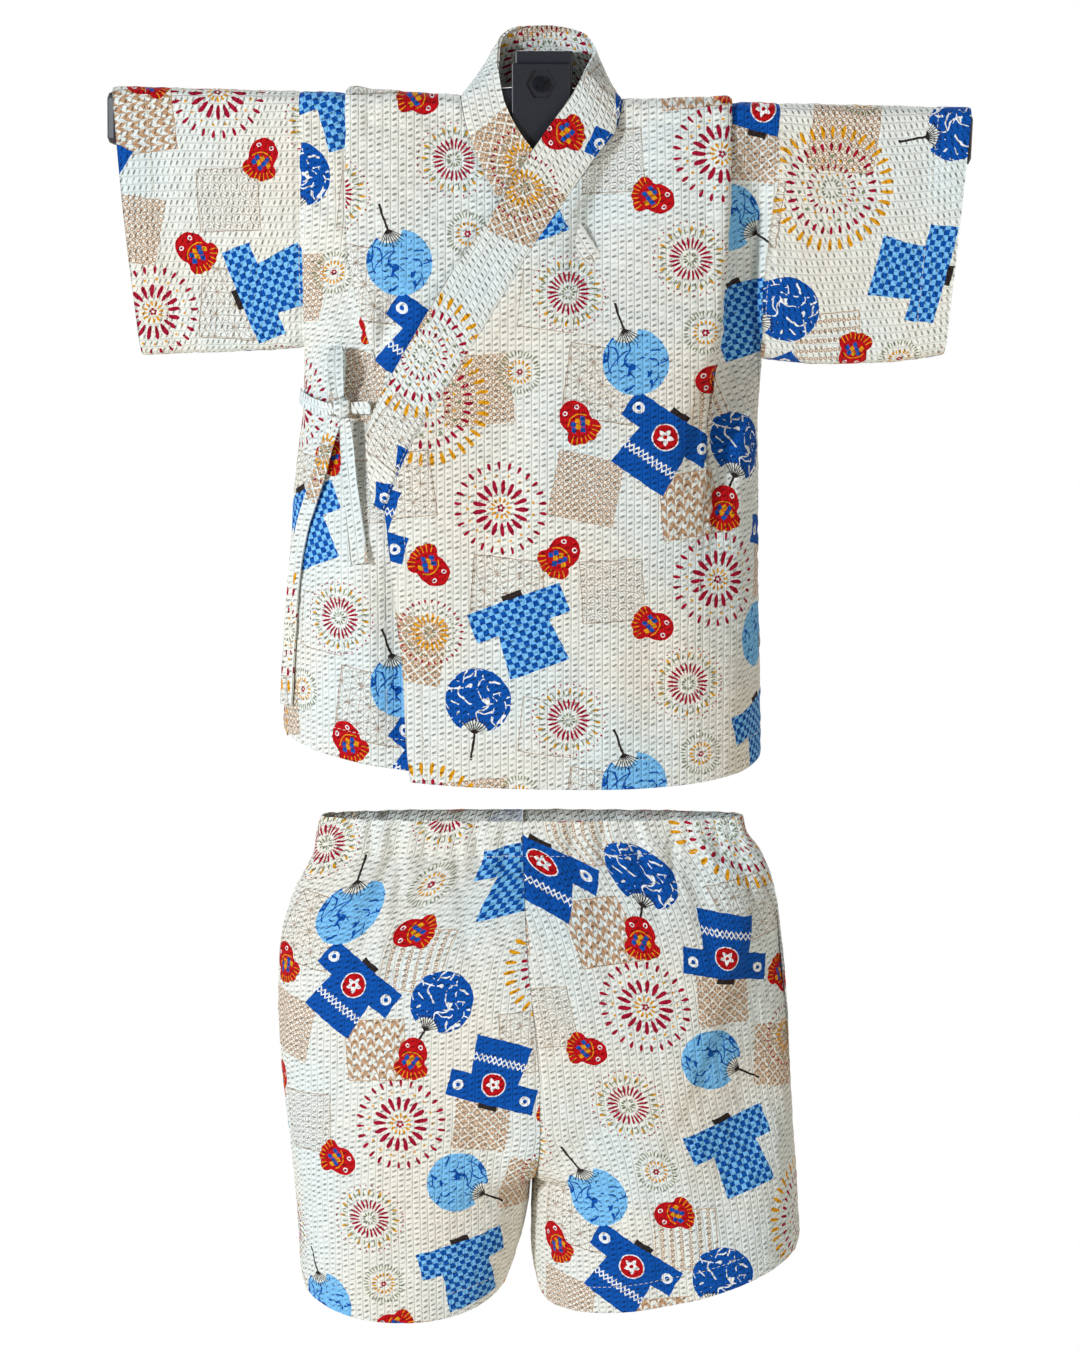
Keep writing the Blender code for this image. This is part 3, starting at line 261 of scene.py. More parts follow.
# Larger gathers under the casing: the column that sinks, how deep, and how far down it runs.
Gather = namedtuple("Gather", "column depth length")
GATHERS = each_from_mm(Gather, {
    "front_right": ((3, 1.2, 30), (6, 3.6, 70), (9, 4, 110), (13, 1.8, 50), (15, 1.2, 40)),
    "front_left": ((3, 1.2, 40), (7, 1.6, 50), (10, 3.8, 85), (14, 3.2, 70), (16, 1.2, 40)),
    "back_right": ((2, 2, 60), (6, 3.2, 80), (11, 3.6, 90), (15, 1.6, 50)),
    "back_left": ((4, 3, 75), (8, 2.2, 60), (12, 3.6, 95), (15, 1.4, 50)),
})

# The tie: stretches of strip on the inner front, by reach, drop and height above its cloth.
Point = namedtuple("Point", "reach drop lift width")
KNOT = Point(-0.1255, 0.1975, 0.0085, 0.011)
KNOT_TALL, KNOT_DEEP, KNOT_ROUND = 0.012, 0.008, 0.7
# The turns of the strip on the knot: how proud, how close and how slanted.
KNOT_TURNS = ((0.07, 7, 0.5), (0.04, 15, -0.3))
TIES = each_from_mm(Point, {
    "tie_loop": (
        (-129, 191, 6.5, 7), (-130.5, 179, 4.5, 9.5), (-130, 167, 5.5, 10), (-129, 159, 8.5, 7),
        (-128.3, 166.5, 12, 9.8), (-127.5, 179, 12.5, 9.5), (-127, 191, 10.5, 7),
    ),
    "tie_end_long": (
        (-128.5, 204, 7.8, 6.5), (-133.5, 213, 6.8, 8), (-138.5, 224, 5.2, 9), (-145, 242, 3.8, 9.5),
        (-152, 259, 3.4, 9.5), (-159.5, 278, 3.4, 9.5), (-166.5, 306, 3.8, 9.5), (-171, 343, 4.2, 10),
        (-174, 370, 4.4, 10.5), (-176.5, 396, 4.6, 10.5),
    ),
    "tie_end_short": (
        (-123.2, 204, 9.2, 6.5), (-122.2, 220, 8.6, 9), (-121.5, 237, 7.2, 9.5), (-120, 256, 5.6, 10),
        (-118, 276, 4.2, 11), (-116, 296, 3.6, 11.5),
    ),
    "tie_strap_side": (
        (-131.5, 198.5, 8, 7), (-140, 199.5, 5.2, 8.5), (-152, 198.5, 3, 9), (-165, 196, 2.3, 8.5),
        (-176.5, 194, 1.8, 7),
    ),
    "tie_strap_collar": ((-119.5, 197, 8, 7), (-113.5, 196.7, 7, 8), (-107.3, 196.2, 6.8, 8.5)),
})
# The strips turn this far towards the front, away from the cloth under them.
TIE_FACING = Vector((0, -0.6, 0))

# A short way along a line, to find its direction.
NEARBY = 0.0008
SHORTS_NEARBY = 0.001

# Finer than the solid's: rows down the body, and how many columns, rings and rows each piece has.
BODY_LONG, ROW_STEP = 0.436, 0.007
OUTER_COLUMNS, INNER_COLUMNS, SIDE_COLUMNS = 24, 30, 6
NECK_COLUMNS, BESIDE_NECK, COLLAR_COLUMNS = 30, 4, 6
SLEEVE_RINGS, SHORTS_FINE_ROWS, TIE_COLUMNS = 20, 57, 4
KNOT_RINGS, KNOT_SIDES = 33, 57
# Where the shorts' side seam falls on the cloth, from the middle seam at the hips.
SIDE_SEAM_AT = 0.18
# Where the shorts' change from hip to leg is smoothed: over how long, in which rows and columns.
LEG_SOFT = 0.03
LEG_SOFT_FROM, LEG_SOFT_TO, LEG_SOFT_COLUMNS = (5.0, 7.5), (12.5, 14.0), (0.5, 5.0)
TIE_STEPS = 6
Stretch = namedtuple("Stretch", "place reach drop lift width")

# The drawn cloth: how thick it is, how far apart the points of its right side are, and how many of
# them its wrong side skips.
CLOTH, COLLAR_CLOTH, TIE_CLOTH = 0.0008, 0.002, 0.0011
FINE_ACROSS, FINE_DOWN, SKIP = 0.0014, 0.0017, 4
TIE_FINE_ACROSS, TIE_FINE_DOWN = 0.0011, 0.0012

# The ripple weave: its stripes, the puffs along them, how proud those stand, and the slant of the
# dents between them, in puffs over a stripe's width.
STRIPE, PUFF_LONG, PUFF, SLANT = 0.005, 0.0038, 0.00145, 0.5
# The share of a puff that a dent takes, and how the stripes differ: how far each starts late and
# its dents wander, in puffs, and the angles for the two.
DENT_SHARE, STRIPE_SHIFT, STRIPE_WANDER, STRIPE_TURN, WANDER_RATE = 0.14, 0.3, 0.25, 2.4, 61.0
# The whole cloth's uneven swelling: its height, its waves, and how they bend sideways.
CRINKLE, CRINKLE_WAVES = 0.0003, (0.0085, 0.011, 0.014, 0.019, 0.027, 0.041)
CRINKLE_SWAY, CRINKLE_SWAY_LONG = 0.9, 2.3
# Hems and seams: how proud the folded cloth stands, how its edges and stitches sink, over which
# widths, and how much of its swelling the sewing presses flat.
HEM_LIFT, STITCH_SUNK, HEM_ROLL, HEM_ROLL_WIDE = 0.00035, 0.0003, 0.0006, 0.0022
HEM_PRESSED, HEM_STEP, STITCH_IN, STITCH_WIDE = 0.35, (0.0015, 0.0005), 0.001, 0.0009
SEAM_ROLL, SEAM_WIDE, SEAM_LEFT, SEAM_PRESSED_WIDE = 0.0009, 0.0032, 0.25, 0.006
UNDER_LONG, UNDER_SUNK, FOLDS_FROM_SEAM = 0.0022, 0.001, 0.01

# Soft creases, in the object's own x and z: a trough from one point to another, how far its slopes
# reach to its left and right, how deep it is, how far it bows, in shares of its length, and its
# side, 1 for the front and -1 for the back. Every trough comes in and dies out over these shares of
# its length, and where the cloth has turned so far to its side.
FOLD_STARTS, FOLD_ENDS, FOLD_FACING = (-0.15, 0.25), (0.6, 1.15), (-0.3, 0.4)
Fold = namedtuple("Fold", "from_x from_z to_x to_z before after deep bow side")
FOLDS = each_from_mm(Fold, {
    "front_left": (
        (146, -80, 120, -258, 19, 9, 11, 0.03, 1), (126.5, -80, 119.5, -232, 4, 13, 5.6, 0, 1),
        (124, -178, 95, -284, 8, 24, 7.5, -0.06, 1), (58, -34, 20, -150, 10, 20, 8.5, -0.03, 1),
        (-9, -173, -41, -262, 20, 16, 1.8, 0.05, 1), (-20, -237, -38, -393, 26, 14, 2.6, -0.03, 1),
        (96, -282, 119, -374, 12, 14, 2.2, 0.05, 1), (62, -347, 71, -473, 18, 13, 2, 0.04, 1),
        (30, -373, 11, -473, 14, 18, 1.4, 0, 1),
    ),
    "front_right": (
        (-100, -321, -93, -460, 14, 10, 8.5, 0.02, 1), (-94, -149, -117, -211, 7, 6, 5.5, 0.05, 1),
        (-152, -58, -128, -49, 4, 5, 1.3, 0.1, 1), (-150, -89, -127, -98, 5, 4, 1.5, -0.08, 1),
        (-118, -44, -90, -52, 5, 4, 1.1, 0.06, 1), (-116, -71, -94, -64, 3, 5, 1.2, 0, 1),
        (-120, -38, -123, -169, 5, 9, 1.8, 0, 1), (-137, -238, -146, -415, 14, 10, 1.8, 0.02, 1),
        (-124, -348, -128, -461, 9, 12, 1.4, -0.02, 1),
    ),
    "back": (
        (-142, -90, -108, -262, 7, 20, 5.2, 0.03, -1), (139, -80, 111, -214, 18, 8, 4, -0.03, -1),
        (-36, -70, -52, -260, 18, 22, 2, 0.04, -1), (41, -118, 60, -302, 20, 14, 1.7, -0.04, -1),
        (4, -262, -12, -470, 22, 18, 2.4, 0.02, -1), (-98, -331, -112, -470, 14, 16, 2.2, 0.05, -1),
        (86, -352, 79, -470, 13, 19, 1.9, -0.03, -1),
    ),
    "sleeve_left": (
        (150, -62, 226, -97, 14, 18, 2.6, 0.05, 1), (147, -135, 203, -110, 12, 10, 1.4, -0.05, 1),
        (249, -53, 233, -132, 10, 14, 1.2, 0.03, 1), (166, -178, 210, -170, 8, 8, 1, 0, 1),
        (152, -71, 214, -118, 14, 12, 2.1, 0.06, -1), (238, -60, 226, -150, 12, 10, 1.3, 0.02, -1),
        (160, -160, 199, -148, 8, 10, 1.1, 0, -1),
    ),
    "sleeve_right": (
        (-161, -50, -211, -69, 10, 12, 1.2, 0.05, 1), (-157, -126, -203, -161, 12, 10, 1.6, 0.05, 1),
        (-245, -152, -242, -192, 7, 8, 1.2, 0, 1), (-252, -50, -248, -120, 10, 10, 0.9, 0, 1),
        (-158, -80, -222, -108, 13, 15, 2.2, -0.04, -1), (-236, -70, -229, -140, 9, 12, 1.2, 0.03, -1),
        (-163, -150, -205, -170, 10, 8, 1.2, 0, -1),
    ),
    "shorts_front_left": (
        (170, -556, 114, -776, 27, 30, 14, 0.02, 1), (155, -544, 74, -745, 6, 16, 3.6, 0.03, 1),
        (2, -738, 56, -699, 8, 10, 1.8, 0.05, 1), (6, -752, 72, -781, 10, 10, 1.8, -0.05, 1),
        (37, -537, 46, -627, 8, 14, 1.6, 0, 1), (78, -744, 84, -844, 14, 12, 2, 0.03, 1),
    ),
    "shorts_front_right": (
        (-21, -738, -69, -695, 10, 8, 1.8, -0.05, 1), (-25, -752, -84, -792, 10, 10, 1.6, 0.05, 1),
        (-95, -537, -104, -627, 7, 12, 2.6, 0.02, 1), (-54, -544, -49, -613, 8, 10, 1.4, 0, 1),
        (-129, -627, -150, -755, 14, 20, 2.4, 0.03, 1), (-97, -758, -103, -844, 12, 14, 1.6, 0, 1),
    ),
    "shorts_back_left": (
        (14, -735, 75, -688, 12, 10, 2.4, 0.05, -1), (18, -752, 90, -790, 10, 12, 1.8, -0.04, -1),
        (61, -540, 70, -640, 10, 13, 2, 0.02, -1), (128, -600, 141, -742, 22, 16, 2.6, -0.03, -1),
        (88, -760, 92, -845, 12, 10, 1.6, 0, -1),
    ),
    "shorts_back_right": (
        (-18, -735, -82, -694, 10, 12, 2.2, -0.05, -1), (-20, -754, -78, -786, 12, 10, 1.7, 0.05, -1),
        (-83, -541, -74, -652, 12, 9, 2.1, 0, -1), (-139, -590, -120, -728, 16, 22, 2.8, 0.04, -1),
        (-110, -752, -118, -845, 11, 14, 1.8, 0.02, -1),
    ),
})

# Puckers that the elastic draws into the casing and just under it: how far out from the middle,
# from and to which drop under the waist, how far each leans, how wide it is and how deep. The
# backs have the other hand's.
Pucker = namedtuple("Pucker", "out start end lean wide deep")
PUCKERS = each_from_mm(Pucker, {
    -1: (
        (17, 1, 17, 1, 2.4, 1.1), (27, 4, 30, -1, 3, 1.5), (35, 0, 14, 1, 2.2, 0.9),
        (44, 6, 27, 0, 2.8, 1.4), (59, 1, 44, -2, 3.4, 2.3), (67, 0, 19, 1, 2.2, 1.1),
        (78, 5, 29, 2, 2.6, 1.2), (95, 0, 52, 3, 3.8, 2.8), (103, 2, 21, 0, 2.3, 1.2),
        (116, 1, 33, -1, 2.8, 1.8), (126, 3, 18, 1, 2, 0.9), (137, 0, 26, 2, 2.5, 1.5),
    ),
    1: (
        (19, 0, 22, 0, 2.6, 1.4), (26, 3, 16, 1, 2, 0.8), (40, 1, 31, -1, 3, 1.6),
        (51, 0, 18, 1, 2.2, 1.1), (63, 4, 27, 2, 2.5, 1.4), (71, 0, 15, 0, 2, 0.9),
        (86, 1, 47, 2, 3.6, 2.6), (97, 2, 22, -1, 2.3, 1.1), (116, 0, 41, 3, 3.4, 2.3),
        (124, 4, 20, 1, 2.2, 1.1), (131, 0, 29, 1, 2.6, 1.5),
    ),
})

# Where on the print each piece was cut, in millimetres.
CUT_AT = {
    "back": (40, 30), "front_left": (20, 118), "front_right": (170, 60), "collar": (215, 95),
    "sleeve_left": (118, 10), "sleeve_right": (252, 150), "tie_end_long": (240, 75),
    "tie_end_short": (25, 240), "tie_loop": (70, 60), "tie_strap_side": (22, 206),
    "tie_strap_collar": (66, 60), "tie_knot": (2, 183),
    "shorts_front_left": (75, 205), "shorts_front_right": (205, 15), "shorts_back_left": (10, 85),
    "shorts_back_right": (130, 175),
}

TUCK_ZONE = (0.095, 0.165)
# Hems, from the edge to their row of stitches, and the thread.
HEM_WIDE, CUFF_HEM, FRONT_HEM = 0.02, 0.022, 0.012
STITCH_LONG, STITCH_GAP, THREAD = 0.0026, 0.001, 0.00045
# A stitch: its sides, its rings as shares of its length and width, and how far in the thread's
# width its ends are sunk and its middle stands proud.
STITCH_SIDES, STITCH_RINGS = 5, ((0.12, 0.8), (0.5, 1.0), (0.88, 0.8))
STITCH_END, STITCH_PROUD, STITCH_LIFT = 0.5, 0.25, 0.2
HEM_ROW, CUFF_ROW = HEM_WIDE - STITCH_IN, CUFF_HEM - STITCH_IN
# The rows of stitches: the piece, its edge and the distance from that.
STITCHED = (
    ("back", "bottom", HEM_ROW), ("front_left", "bottom", HEM_ROW), ("front_right", "bottom", HEM_ROW),
    ("front_left", "first", FRONT_HEM - STITCH_IN), ("sleeve_left", "bottom", CUFF_ROW),
    ("sleeve_right", "bottom", CUFF_ROW), ("collar", "first", 0.0018), ("sleeve_left", "top", 0.0016),
    ("sleeve_right", "top", 0.0016),
)
STITCHED_SHORTS = (("bottom", HEM_ROW), ("top", CASING))

# The camera looks down a little, at the middle of the set.
CAMERA_LEVEL, CAMERA_FAR, CAMERA_PITCH, CAMERA_SPAN = -0.409, 2.0, 12.0, 0.72252
LIGHTS = (
    ("key_window", (-3.1, -2.9, 0.5), 0.5, 155.0, "#EFF5FF"),
    ("fill_right", (1.8, -2.7, -0.6), 1.1, 22.0, "#FFF4E8"),
    ("back", (0.6, 2.3, 2.2), 1.5, 80.0, "#FFFFFF"),
)
# The paper: where it starts, bends up and ends, the bend's radius, and half its width.
SWEEP_FRONT, SWEEP_BEND, SWEEP_TOP, SWEEP_CURVE, SWEEP_HALF = -6.0, 1.6, 5.0, 1.2, 6.0
# The sky's strength on the set, and as the lens sees it past the paper's edge: burnt out too.
WORLD_LIGHT, WORLD_SEEN = 0.22, 1.2

# ---- the garment's form


def between(low, high, start, end, share):
    """A smooth way from one value to another, that starts and ends at these slopes."""
    rise = high - low
    return low + share * (start + share * (3 * rise - 2 * start - end + share * (start + end - 2 * rise)))


def read(table, column, at):
    """A column of a table at a value of its first column, on a curve that never overshoots."""
    keys = [row[0] for row in table]
    values = [getattr(row, column) for row in table]
    at = min(max(at, keys[0]), keys[-1])
    here = min(bisect_right(keys, at) - 1, len(keys) - 2)
    slopes = [(b - a) / (q - p) for a, b, p, q in zip(values, values[1:], keys, keys[1:])]

    def tangent(place):
        if place in (0, len(slopes)):
            return slopes[min(place, len(slopes) - 1)]
        before, after = slopes[place - 1], slopes[place]
        return 0.0 if before * after <= 0 else 2 * before * after / (before + after)

    span = keys[here + 1] - keys[here]
    start, end = tangent(here) * span, tangent(here + 1) * span
    return between(values[here], values[here + 1], start, end, (at - keys[here]) / span)


def ease(value, low, high):
    share = np.clip((value - low) / (high - low), 0.0, 1.0)
    return share * share * (3 - 2 * share)


def run_up(steps):
    return np.concatenate([[0], np.cumsum(steps)])


def over_bar(degrees):
    """How far out and how far down the cloth is, as it comes over the bar's rounded top."""
    angle = radians(degrees)
    return sin(angle) ** (2 / 3), ROUND * (1 - max(cos(angle), 0) ** (2 / 3))


@lru_cache(maxsize=None)
def body_section(drop, face):
    """x, depth and reach of points across the front or back of the body, from side to side."""
    drop = max(drop, ROUND)
    right, left = read(BODY, "right", drop), read(BODY, "left", drop)
    arm, turn = read(BODY, "arm", drop), read(BODY, "turn", drop)
    deep = read(BODY, face, drop)
    across = np.sin(np.linspace(-pi / 2, pi / 2, SECTION_POINTS))
    x = (left + right) / 2 + (left - right) / 2 * across
    depth = arm + (deep - arm) * (1 - np.abs(across) ** CROWN).clip(0) ** turn
    if face == "back":
        push = NECK_PUSH * (1 - ease(drop, 0, NECK_FADE))
        depth = depth + push * np.exp(-((x / NECK_SPREAD) ** 2))
    reach = run_up(np.hypot(np.diff(x), np.diff(depth)))
    return x, depth, reach - np.interp(0, x, reach)


def heading(at, nearby, reach, xs, ys):
    """Which way a section runs at a reach, as a unit step."""
    ends = max(at - nearby, reach[0]), min(at + nearby, reach[-1])
    run, rise = (float(np.diff(np.interp(ends, reach, line))[0]) for line in (xs, ys))
    return run / hypot(run, rise), rise / hypot(run, rise)


def reach_of(x, drop, face):
    xs, _, reach = body_section(round(drop, 6), face)
    return float(np.interp(x, xs, reach))


def side_reach(side, drop, face):
    reach = body_section(round(drop, 6), face)[2]
    return float(reach[-1] if side > 0 else reach[0])


def on_body(reach, drop, lift, face, turn=90):
    """A point of the jacket's body, before it is tilted: x, y and the drop."""
    xs, depths, reaches = body_section(round(max(drop, ROUND), 6), face)
    x, depth = np.interp(reach, reaches, xs), np.interp(reach, reaches, depths)
    run, rise = heading(reach, NEARBY, reaches, xs, depths)
    level = lift * sin(radians(turn))
    depth = max(depth * over_bar(turn)[0], SEAM_GAP / 2) + level * run
    low = drop - lift * cos(radians(turn))
    return float(x - level * rise), float(-depth if face == "front" else depth), low


def hang(x, y, drop):
    """From the jacket's own lines to the object's frame: the bar hangs a little askew."""
    return (x + GARMENT_SHIFT, y, SHOULDER_Z - drop - TILT * x)


def tuck_points(fold):
    """A tuck's section, from the middle outwards, down to its lowest layer: along and out."""
    radius = TUCK_PITCH / 2
    corner = radius * sqrt(2)
    back = (TUCK_WIDTH - TUCK_PITCH) * max(2 * fold - 1, 0) + TUCK_BACK_LEAST
    bend = min(2 * fold, 1)
    along, out = 0.0, 0.0
    points = [(along, out)]
    for length, degrees in (
        (TUCK_WIDTH - radius, 0), (corner, 45), (corner, 135), (back, 180), (corner, 135),
        (corner, 45),
    ):
        slant = radians(degrees * bend)
        along, out = along + length * cos(slant), out - length * sin(slant)
        points.append((along, out))
    return [(along, high - out - TUCK_SUNK * bend) for along, high in points]


def tucked_row(drop, side, table, face, columns):
    """Reach, lift and cloth line from a tuck's inner start to the side seam, over the fold."""
    section, trough = tuck_points(read(table, "fold", drop)), read(table, "trough", drop)
    start = abs(reach_of(side * (read(table, "edge", drop) - TUCK_WIDTH), drop, face))
    end = abs(side_reach(side, drop, face))
    last = section[-1][0]
    lowest = max(TUCK_WIDTH + TROUGH_BESIDE, last + LOWEST_PAST)
    brink = max(TUCK_WIDTH + BRINK, last + BRINK_PAST)
    section += [(brink, section[-1][1]), (lowest, 0.0)]
    for column in range(1, columns + 1):
        section.append((lowest + (end - start - lowest) * column / columns, 0.0))
    row, cloth, before = [], start, section[0]
    for along, out in section:
        cloth += hypot(along - before[0], out - before[1])
        before = along, out
        past = max(along - lowest, 0) / TROUGH_SPREAD
        sunk = trough * ease(along, brink, lowest) * exp(-past**2)
        row.append((side * (start + along), out - sunk, side * cloth))
    return row, start, section[0][1]


def rise_by_tuck(reach, start, height):
    """The cloth inside a tuck still stands a little proud, and settles towards the middle."""
    return height * exp(-(max(start - abs(reach), 0) / TUCK_RISE_SPREAD) ** 2)


def lap_lift(x, drop):
    """How far the outer front stands in front of the inner one, and of the tuck in that."""
    over_tuck = OVER_TUCK * ease(-x, *OVER_TUCK_SIDE) * (1 - ease(drop, *OVER_TUCK_ENDS))
    return LAP * ease(drop, 0.0, LAP_STARTS) * (1 - ease(x, *LAP_FADES)) + over_tuck


def hem_drop(hem, x, drop):
    """Stretches the lowest rows so that the last one follows the hem."""
    rise = HEM_SIDE_RISE * abs(x / HEM_SIDE) ** 3
    return drop + (hem - rise - BODY_LONG) * ease(drop, HEM_STRETCH_FROM, BODY_LONG)


def boundary(which, drop):
    """x of a front's middle edge: the collar's seam, then the free edge."""
    if drop <= COLLAR_END:
        return read(COLLAR_OUTER if which == "outer" else COLLAR_INNER, "seam", drop)
    return read(FRONT_EDGES, which, drop)


def rows_down(end):
    """The turn and the drop of each row, over the bar and then down."""
    drops = np.linspace(ROUND, end, round((end - ROUND) / ROW_STEP) + 1)[1:]
    return [(turn, over_bar(turn)[1]) for turn in SHOULDER_TURNS] + [(90, drop) for drop in drops]


def collar_gap(drop):
    """The cloth stands further from the collar where the two meet at an angle."""
    return SEAM_GAP + (NECK_GAP - SEAM_GAP) * (1 - ease(drop, 0.0, NECK_GAP_ENDS))


def front_grid(which, side, table, columns):
    """A front, row by row, from its middle edge to its side seam: x, y, z and its cloth lines."""
    outer = which == "outer"
    grid = []
    for turn, drop in rows_down(BODY_LONG):
        row, start, height = tucked_row(drop, side, table, "front", SIDE_COLUMNS)
        edge = reach_of(boundary(which, drop) + side * collar_gap(drop), drop, "front")
        reaches = [edge + (side * start - edge) * column / columns for column in range(columns)]
        points = [(reach, rise_by_tuck(reach, start, height), reach) for reach in reaches] + row
        line = []
        for reach, lift, cloth in points:
            lift += lap_lift(on_body(reach, drop, 0, "front")[0], drop) if outer else 0.0
            x, y, low = on_body(reach, drop, lift, "front", turn)
            low = hem_drop(HEM_OUTER if outer else HEM_INNER, x, low)
            line.append((*hang(x, y, low), cloth, -low))
        grid.append(line)
    return np.array(grid)


def neck_path(place):
    row = [read(COLLAR_NECK, name, place) for name in Neck._fields[1:]]
    return row[:3], row[3:]


def back_grid():
    """The back, from the right side seam to the left one."""
    grid = []
    for turn, drop in rows_down(BODY_LONG):
        left, left_start, height = tucked_row(drop, 1, TUCK_BACK, "back", SIDE_COLUMNS)
        right, right_start, _ = tucked_row(drop, -1, TUCK_BACK, "back", SIDE_COLUMNS)
        low = drop + (HEM_BACK - BODY_LONG) * ease(drop, HEM_STRETCH_FROM, BODY_LONG)
        line = [(*on_body(reach, low, lift, "back", turn), cloth)
                for reach, lift, cloth in reversed(right)]
        ends = COLLAR_NECK[-1].seam_x - NECK_CORNER_GAP, COLLAR_NECK[0].seam_x + NECK_CORNER_GAP

        def beside(low_reach, high_reach, start):
            for reach in np.linspace(low_reach, high_reach, BESIDE_NECK + 2)[1:-1]:
                lift = rise_by_tuck(reach, start, height)
                line.append((*on_body(reach, low, lift, "back", turn), reach))

        beside(-right_start, ends[0] + (ends[0] + right_start) / (BESIDE_NECK + 1), right_start)
        out, down = (over_bar(turn)[0], drop / ROUND) if drop < ROUND else (1.0, 1.0)
        for step in range(1, NECK_COLUMNS):
            seam, edge = neck_path(NECK_LAST - NECK_LAST * step / NECK_COLUMNS)
            seam, edge = Vector(seam), Vector(edge)
            x, y, top = seam + (seam - edge).normalized() * NECK_GAP
            even = ends[0] + (ends[1] - ends[0]) * step / NECK_COLUMNS
            reach = x + (even - x) * ease(drop, ROUND, BACK_EVENS_OUT)
            under = on_body(reach, max(low, ROUND), 0, "back")
            line.append((under[0], y + (under[1] - y) * out, top + (under[2] - top) * down, reach))
        beside(ends[1] - (left_start - ends[1]) / (BESIDE_NECK + 1), left_start, left_start)
        line += [(*on_body(reach, low, lift, "back", turn), cloth) for reach, lift, cloth in left]
        grid.append([(*hang(x, y, fall), cloth, -fall) for x, y, fall, cloth in line])
    return np.array(grid)


def collar_row(band, which, turn, drop):
    """Seam and free edge of the collar on a front, as x, y and drop."""
    outer = which == "outer"

    def on_front(x, low, turn=90):
        lift = lap_lift(x, low) if outer else 0.0
        return on_body(reach_of(x, max(low, ROUND), "front"), low, lift, "front", turn)

    edge_x, edge_drop = read(band, "edge", drop), read(band, "edge_drop", drop)
    under = -on_front(edge_x, max(edge_drop, ROUND))[1]
    stand = (STAND_OUTER if outer else STAND_INNER) + STAND_SLOPE * (edge_drop - STAND_TOP)
    if edge_drop > 0.0:
        stand = under + max(stand - under, 0) * (1 - ease(edge_drop, *STAND_FADES))
    return on_front(read(band, "seam", drop), drop, turn), (edge_x, -stand, edge_drop)


def collar_grid(across):
    """The collar's band, from the bottom of the outer front round the neck to the inner one."""
    down = rows_down(COLLAR_END)
    rows = [collar_row(COLLAR_OUTER, "outer", turn, drop) for turn, drop in reversed(down)]
    rows += [neck_path(NECK_LAST * step / NECK_COLUMNS) for step in range(1, NECK_COLUMNS)]
    rows += [collar_row(COLLAR_INNER, "inner", turn, drop) for turn, drop in down]
    grid, along, before = [], 0.0, None
    for seam, edge in rows:
        seam, edge = Vector(hang(*seam)), Vector(hang(*edge))
        middle = (seam + edge) / 2
        along += (middle - before).length if before else 0.0
        before = middle
        wide = (edge - seam).length
        grid.append([(*seam.lerp(edge, share), wide * share, along)
                     for share in np.linspace(0, 1, across + 1)])
    return np.array(grid)


def armhole_x(side, drop):
    """How far from the middle line the armhole is."""
    return side * read(BODY, "left" if side > 0 else "right", max(drop, ROUND))


def sleeve_depth(along, drop, bottom, deep):
    """Half depth of a sleeve: the armhole's at its root, flatter towards the cuff."""
    arm = read(BODY, "arm", min(drop * UNDERARM / bottom, ARM_DEEP_TO))
    flat = (SLEEVE_FLAT + SLEEVE_FULL * sin(pi * drop / bottom)) * deep
    return arm + (flat - arm) * ease(along, 0.0, SLEEVE_FLAT_BY)


def sleeve_grid(side, table):
    """A sleeve, ring by ring, each ring from the underarm seam round the front."""
    rings = []
    for along in np.linspace(0, 1, SLEEVE_RINGS + 1):
        bottom, deep = read(table, "bottom", along), read(table, "share", along)
        half = [over_bar(turn) for turn in SHOULDER_TURNS]
        half += [(1.0, bottom * share) for share in SLEEVE_MIDDLES]
        half += [(out, bottom - up) for out, up in SLEEVE_UNDER]
        around = [(-out, drop) for out, drop in reversed(half)] + half[1:]
        ring, cloth, before = [], 0.0, None
        for out, drop in around:
            root = armhole_x(side, drop) + SLEEVE_GAP
            cuff = read(CUFF, "left" if side > 0 else "right", drop)
            depth = out * sleeve_depth(along, drop, bottom, deep)
            if drop == bottom:
                depth = copysign(SEAM_GAP / 2, out)
            cloth += hypot(depth - before[0], drop - before[1]) if before else 0.0
            before = depth, drop
            far = root + (cuff - root) * along
            ring.append((*hang(side * far, depth, drop), cloth, far))
        rings.append(ring)
    grid = np.array(rings)
    return grid if side > 0 else grid[:, ::-1]


@lru_cache(maxsize=None)
def shorts_section(table, face, row):
    """A level section of a shorts panel: its seams' distances, its points and their reaches."""
    power = 2 / HIP_CROWN
    first = -radians(read(table, "turn", row))
    outer = read(table, "outer", row)
    inner = read(table, "inner", row) + SEAM_GAP / 2 - WALL / 2 * sin(first) * SEAM_TURN

    def bow(angle):
        sine, cosine = sin(angle), max(cos(angle), 0)
        return copysign(abs(sine) ** power, sine), cosine**power

    wide = (outer - inner) / (1 - bow(first)[0])
    bows = [bow(angle) for angle in np.linspace(first, pi / 2, SHORTS_POINTS)]
    x = np.array([outer - wide + wide * sine for sine, _ in bows])
    y = np.array([read(table, face, row) * cosine for _, cosine in bows])
    return inner, outer, x, y, run_up(np.hypot(np.diff(x), np.diff(y)))


def gathered(drop, column, gathers):
    """How far the casing's small waves and the larger gathers below it lift the cloth."""
    lift = GATHER_WAVE * (-1) ** column * (1 - ease(drop, CASING, GATHER_WAVE_ENDS))
    for gather in gathers:
        near = exp(-(((column - gather.column) / GATHER_WIDE) ** 2))
        fade = GATHER_AT_TOP + (1 - GATHER_AT_TOP) * ease(drop, GATHER_START, GATHER_FULL)
        fade *= 1 - ease(drop, GATHER_FULL, GATHER_FULL + gather.length)
        lift -= gather.depth * near * fade
    return lift


